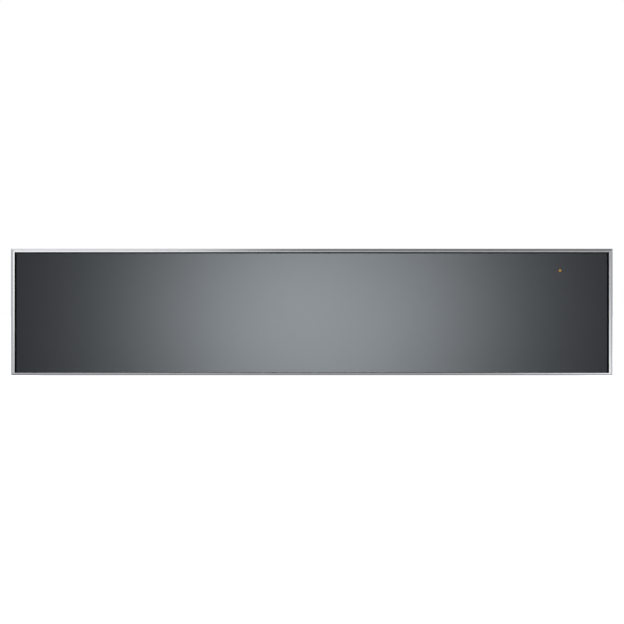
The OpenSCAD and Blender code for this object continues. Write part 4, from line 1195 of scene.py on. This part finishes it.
def front_camera():
    """Square on to the front, at the height of its middle."""
    studio = look("studio")
    low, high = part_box("frame_bar_bottom")[0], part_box("frame_bar_top")[1]
    data = bpy.data.cameras.new("camera")
    data.lens = studio.lens
    data.clip_end = 100.0
    camera = linked("camera", data)
    camera.location = (studio.sideways, low.y - studio.distance, (low.z + high.z) / 2)
    camera.rotation_euler = (math.pi / 2, 0.0, 0.0)
    bpy.context.scene.camera = camera


def softbox(name, at, target, width, tall, power, only):
    """A rectangular light that faces a target and lights only some pieces."""
    data = bpy.data.lights.new(name, "AREA")
    data.shape = "RECTANGLE"
    data.size, data.size_y = width, tall
    data.energy = power
    lamp = linked(name, data)
    lamp.location = at
    lamp.rotation_euler = (Vector(target) - Vector(at)).to_track_quat("-Z", "Y").to_euler()
    lamp.visible_camera = False
    group = bpy.data.collections.new(name + "_lights")
    for piece in only:
        group.objects.link(piece)
    lamp.light_linking.receiver_collection = group


def lights():
    """Softboxes for the whole object, and cards that only the polished frame reflects."""
    studio = look("studio")
    camera = bpy.context.scene.camera.location
    behind = camera.y - 0.15
    bars = [bpy.data.objects[node + "_formed"] for node in BAR_NODES]
    gasket, panel = (bpy.data.objects[name + "_formed"] for name in ("front_gasket", "front_panel"))
    rest = [piece for piece in bpy.data.objects if piece.type == "MESH" and piece not in (*bars, gasket)]
    under_sky = [*(piece for piece in rest if piece != panel), *bars]
    key = Vector((0.01, behind, camera.z - 0.008))
    softbox("key", key, (key.x, 0.0, key.z), 0.50, 0.33, studio.key_power, rest)
    softbox("sky", (0.0, 0.9, 2.2), (0.0, 0.9, 0.0), 3.2, 3.2, studio.sky_power, under_sky)
    face = Vector((0.0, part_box("front_panel")[0].y, camera.z))
    left_of_face = face - Vector((0.35, 0.0, 0.0))
    # Cards that overlap stand at different depths, because lights in one plane hide each other. Without a
    # target a card faces straight ahead. The last number is the brightness that the frame mirrors
    for name, at, target, width, tall, brightness in (
        ("card_fill", Vector((0.0, behind - 0.10, camera.z)), None, 1.8, 1.2, 0.36),
        ("card_upper_left", Vector((-0.75, behind - 0.05, camera.z + 0.50)), None, 1.1, 1.12, 0.90),
        ("card_lower_right", Vector((1.0, behind - 0.05, camera.z - 0.56)), None, 1.0, 1.1, 1.2),
        ("card_roof", Vector((-0.77, -1.17, 1.33)), left_of_face, 1.2, 0.9, 0.65),
        ("card_right", Vector((1.48, -1.19, -0.50)), face, 1.0, 1.0, 0.45),
        ("card_floor", Vector((0.80, -0.74, -1.42)), face, 0.9, 0.6, 0.60),
    ):
        power = brightness * math.pi * width * tall
        softbox(name, at, target or at + BACKWARDS, width, tall, power, bars)


# ---------------- operators


class WARMING_OT_front_frame(bpy.types.Operator):
    """Four mitred frame bars with softened edges"""

    bl_idname = "warming.front_frame"
    bl_label = "Front Frame"

    def execute(self, context):
        for node in BAR_NODES:
            variant = "upright" if node.endswith(SIDES) else None
            formed(node, look("front").frame_edge, variant, shortest=1.0 * MM, angle=15.0)
        return {"FINISHED"}


class WARMING_OT_front_panel(bpy.types.Operator):
    """Satin glass panel and the gasket round it"""

    bl_idname = "warming.front_panel"
    bl_label = "Front Panel"

    def execute(self, context):
        formed("front_panel", look("front").panel_edge, segments=3)
        # The front gasket takes the shaded copy of the rubber: painted shade in the gap beside the panel
        formed("front_gasket", 0.2 * MM, "shaded")
        return {"FINISHED"}


class WARMING_OT_indicator(bpy.types.Operator):
    """Domed amber lens, its lamp and the lamp's board"""

    bl_idname = "warming.indicator"
    bl_label = "Indicator"

    def execute(self, context):
        lamp_part("indicator_lens", "indicator_lens_dome", 0.8 * MM, 1.0 * MM, 0.35 * MM, 4, 40)
        lamp_part("indicator_led", "indicator_lamp", 1.0 * MM, 0.5 * MM, 1.5 * MM, 6, 32)
        formed("indicator_board", 0.15 * MM)
        return {"FINISHED"}


class WARMING_OT_front_core(bpy.types.Operator):
    """Carrier plate, insulation and inner plate of the front"""

    bl_idname = "warming.front_core"
    bl_label = "Front Core"

    def execute(self, context):
        formed("front_carrier", look("housing").sheet_edge)
        formed("front_insulation", 0.6 * MM)
        formed("front_inner_panel", look("housing").sheet_edge)
        return {"FINISHED"}


class WARMING_OT_housing(bpy.types.Operator):
    """Folded sheets of the housing and the surround behind the front"""

    bl_idname = "warming.housing"
    bl_label = "Housing"

    def execute(self, context):
        sheets = ("case_base", "case_side_left", "case_side_right", "case_rear", "case_top", "front_surround")
        for node in sheets:
            formed(node, look("housing").sheet_edge)
        return {"FINISHED"}


class WARMING_OT_glides(bpy.types.Operator):
    """Rubber glides under the base and bumpers on the surround"""

    bl_idname = "warming.glides"
    bl_label = "Glides and Bumpers"

    def execute(self, context):
        rim_share, dish = 0.45, 0.6 * MM
        bm = bmesh.new()
        for low, high in solids("base_glides"):
            seat, height, radius = fitted(low, high, DOWN)
            foot = turned(bm, radius, height, seat, 48)
            sink(bm, top_face(foot, seat), radius * rim_share, dish)
        round_edges(bm, sharp_edges(bm, 1.0 * MM, 60.0), 0.35 * MM, 3)
        settle(bm, "base_glides_moulded", "base_glides")

        bm = bmesh.new()
        for low, high in solids("flange_bumpers"):
            seat, height, radius = fitted(low, high, FORWARDS)
            turned(bm, radius, height, seat, nose=0.6 * MM)
        settle(bm, "flange_bumpers_moulded", "flange_bumpers")
        return {"FINISHED"}


class WARMING_OT_fasteners(bpy.types.Operator):
    """Screws with a six-lobe drive, and pop rivets"""

    bl_idname = "warming.fasteners"
    bl_label = "Screws and Rivets"

    def execute(self, context):
        for node, suffix in (("case_screws", "turned"), ("drawer_screws", "turned"), ("rail_rivets", "set")):
            add = add_rivet if suffix == "set" else add_screw
            bm = bmesh.new()
            for low, high in solids(node):
                size = high - low
                axis = Vector((math.copysign(1.0, low.x), 0.0, 0.0))
                if node == "drawer_screws":
                    axis = -axis if size.x < min(size.y, size.z) else BACKWARDS
                add(bm, low, high, axis)
            settle(bm, f"{node}_{suffix}", node)
        return {"FINISHED"}


class WARMING_OT_cable_entry(bpy.types.Operator):
    """Cable gland, terminal block and cover, and the lead to the drawer"""

    bl_idname = "warming.cable_entry"
    bl_label = "Cable Entry"

    def execute(self, context):
        formed("terminal_cover", 0.8 * MM, segments=3)
        formed("terminal_block", 0.4 * MM)
        gland()
        lead()
        return {"FINISHED"}


class WARMING_OT_latch(bpy.types.Operator):
    """Push-to-open latch and the striker on the drawer"""

    bl_idname = "warming.latch"
    bl_label = "Latch"

    def execute(self, context):
        formed("latch_body", 0.8 * MM, segments=3)
        formed("latch_striker", 0.4 * MM)
        latch_rod("latch_plunger", FORWARDS, 1.6 * MM)
        latch_rod("striker_buffer", BACKWARDS, 1.0 * MM)
        spring()
        return {"FINISHED"}


class WARMING_OT_slides(bpy.types.Operator):
    """Telescopic slides: rails, retainer strips and their balls"""

    bl_idname = "warming.slides"
    bl_label = "Slides"

    def execute(self, context):
        for side in SIDES:
            for stage in ("outer", "middle", "inner"):
                formed(f"{stage}_rail_{side}", 0.25 * MM)
            for stage in ("outer", "inner"):
                retainer(f"{stage}_retainer_{side}")
        return {"FINISHED"}


class WARMING_OT_tray(bpy.types.Operator):
    """Pressed tray with a rounded floor, air openings and rim, the glass plate and its gasket"""

    bl_idname = "warming.tray"
    bl_label = "Tray and Plate"

    def execute(self, context):
        tub()
        plate()
        formed("plate_gasket", 0.15 * MM)
        return {"FINISHED"}


class WARMING_OT_heater(bpy.types.Operator):
    """Heater tube with its reflector tray, the insulation under it and the safety cut-out"""

    bl_idname = "warming.heater"
    bl_label = "Heater"

    def execute(self, context):
        formed("heater_element", 0.2 * MM, shortest=30.0 * MM)
        formed("element_tray", 0.25 * MM)
        formed("floor_insulation", 0.6 * MM)
        formed("thermal_cutout", 0.15 * MM, shortest=2.0 * MM)
        return {"FINISHED"}


class WARMING_OT_blower(bpy.types.Operator):
    """Blower, its grille and the chassis and cover round it"""

    bl_idname = "warming.blower"
    bl_label = "Blower and Chassis"

    def execute(self, context):
        formed("drawer_chassis", look("housing").sheet_edge)
        formed("rear_cover", look("housing").sheet_edge)
        formed("fan_motor", 0.5 * MM, shortest=2.0 * MM)
        formed("fan_wheel", 0.15 * MM, shortest=6.0 * MM)
        formed("fan_grille", 0.2 * MM, shortest=6.0 * MM)
        return {"FINISHED"}


class WARMING_OT_controls(bpy.types.Operator):
    """Control panel in the tray's corner with its switches, knob and button"""

    bl_idname = "warming.controls"
    bl_label = "Controls"

    def execute(self, context):
        formed("control_panel", 1.0 * MM, segments=3)
        formed("power_switch", 0.4 * MM)
        formed("selector_switch", 0.3 * MM, shortest=6.0 * MM)
        knob()
        button()
        return {"FINISHED"}


class WARMING_OT_dial_marks(bpy.types.Operator):
    """Printed ticks and numerals round the knob, and the on-off mark beside the button"""

    bl_idname = "warming.dial_marks"
    bl_label = "Dial Marks"

    def execute(self, context):
        dial()
        return {"FINISHED"}


class WARMING_OT_studio(bpy.types.Operator):
    """Pale floor, soft studio light and the camera in front of the closed drawer"""

    bl_idname = "warming.studio"
    bl_label = "Studio"

    def execute(self, context):
        context.scene.view_settings.view_transform = "Standard"
        pale_floor()
        surroundings()
        front_camera()
        lights()
        return {"FINISHED"}


# ---------------- panel and registration


class WARMING_PT_sidebar(bpy.types.Panel):
    """Sizes, colours and steps of the warming drawer"""

    bl_idname = "WARMING_PT_sidebar"
    bl_label = "Warming Drawer"
    bl_space_type = "VIEW_3D"
    bl_region_type = "UI"
    bl_category = "Warming Drawer"

    def draw(self, context):
        for group, kind in GROUPS.items():
            box = self.layout.box()
            box.label(text=kind.__doc__)
            for name in kind.__annotations__:
                box.prop(getattr(context.scene, group), name)
        for step in STEPS:
            self.layout.operator(step.bl_idname)


STEPS = (
    WARMING_OT_front_frame, WARMING_OT_front_panel, WARMING_OT_indicator, WARMING_OT_front_core,
    WARMING_OT_housing, WARMING_OT_glides, WARMING_OT_fasteners, WARMING_OT_cable_entry,
    WARMING_OT_latch, WARMING_OT_slides, WARMING_OT_tray, WARMING_OT_heater, WARMING_OT_blower,
    WARMING_OT_controls, WARMING_OT_dial_marks, WARMING_OT_studio,
)
CLASSES = (*GROUPS.values(), *STEPS, WARMING_PT_sidebar)


def register():
    for each in CLASSES:
        bpy.utils.register_class(each)
    for group, kind in GROUPS.items():
        setattr(bpy.types.Scene, group, bpy.props.PointerProperty(type=kind))


def unregister():
    for group in GROUPS:
        delattr(bpy.types.Scene, group)
    for each in reversed(CLASSES):
        bpy.utils.unregister_class(each)


def main():
    register()
    for step in STEPS:
        family, name = step.bl_idname.split(".")
        getattr(getattr(bpy.ops, family), name)()


if __name__ == "__main__":
    main()
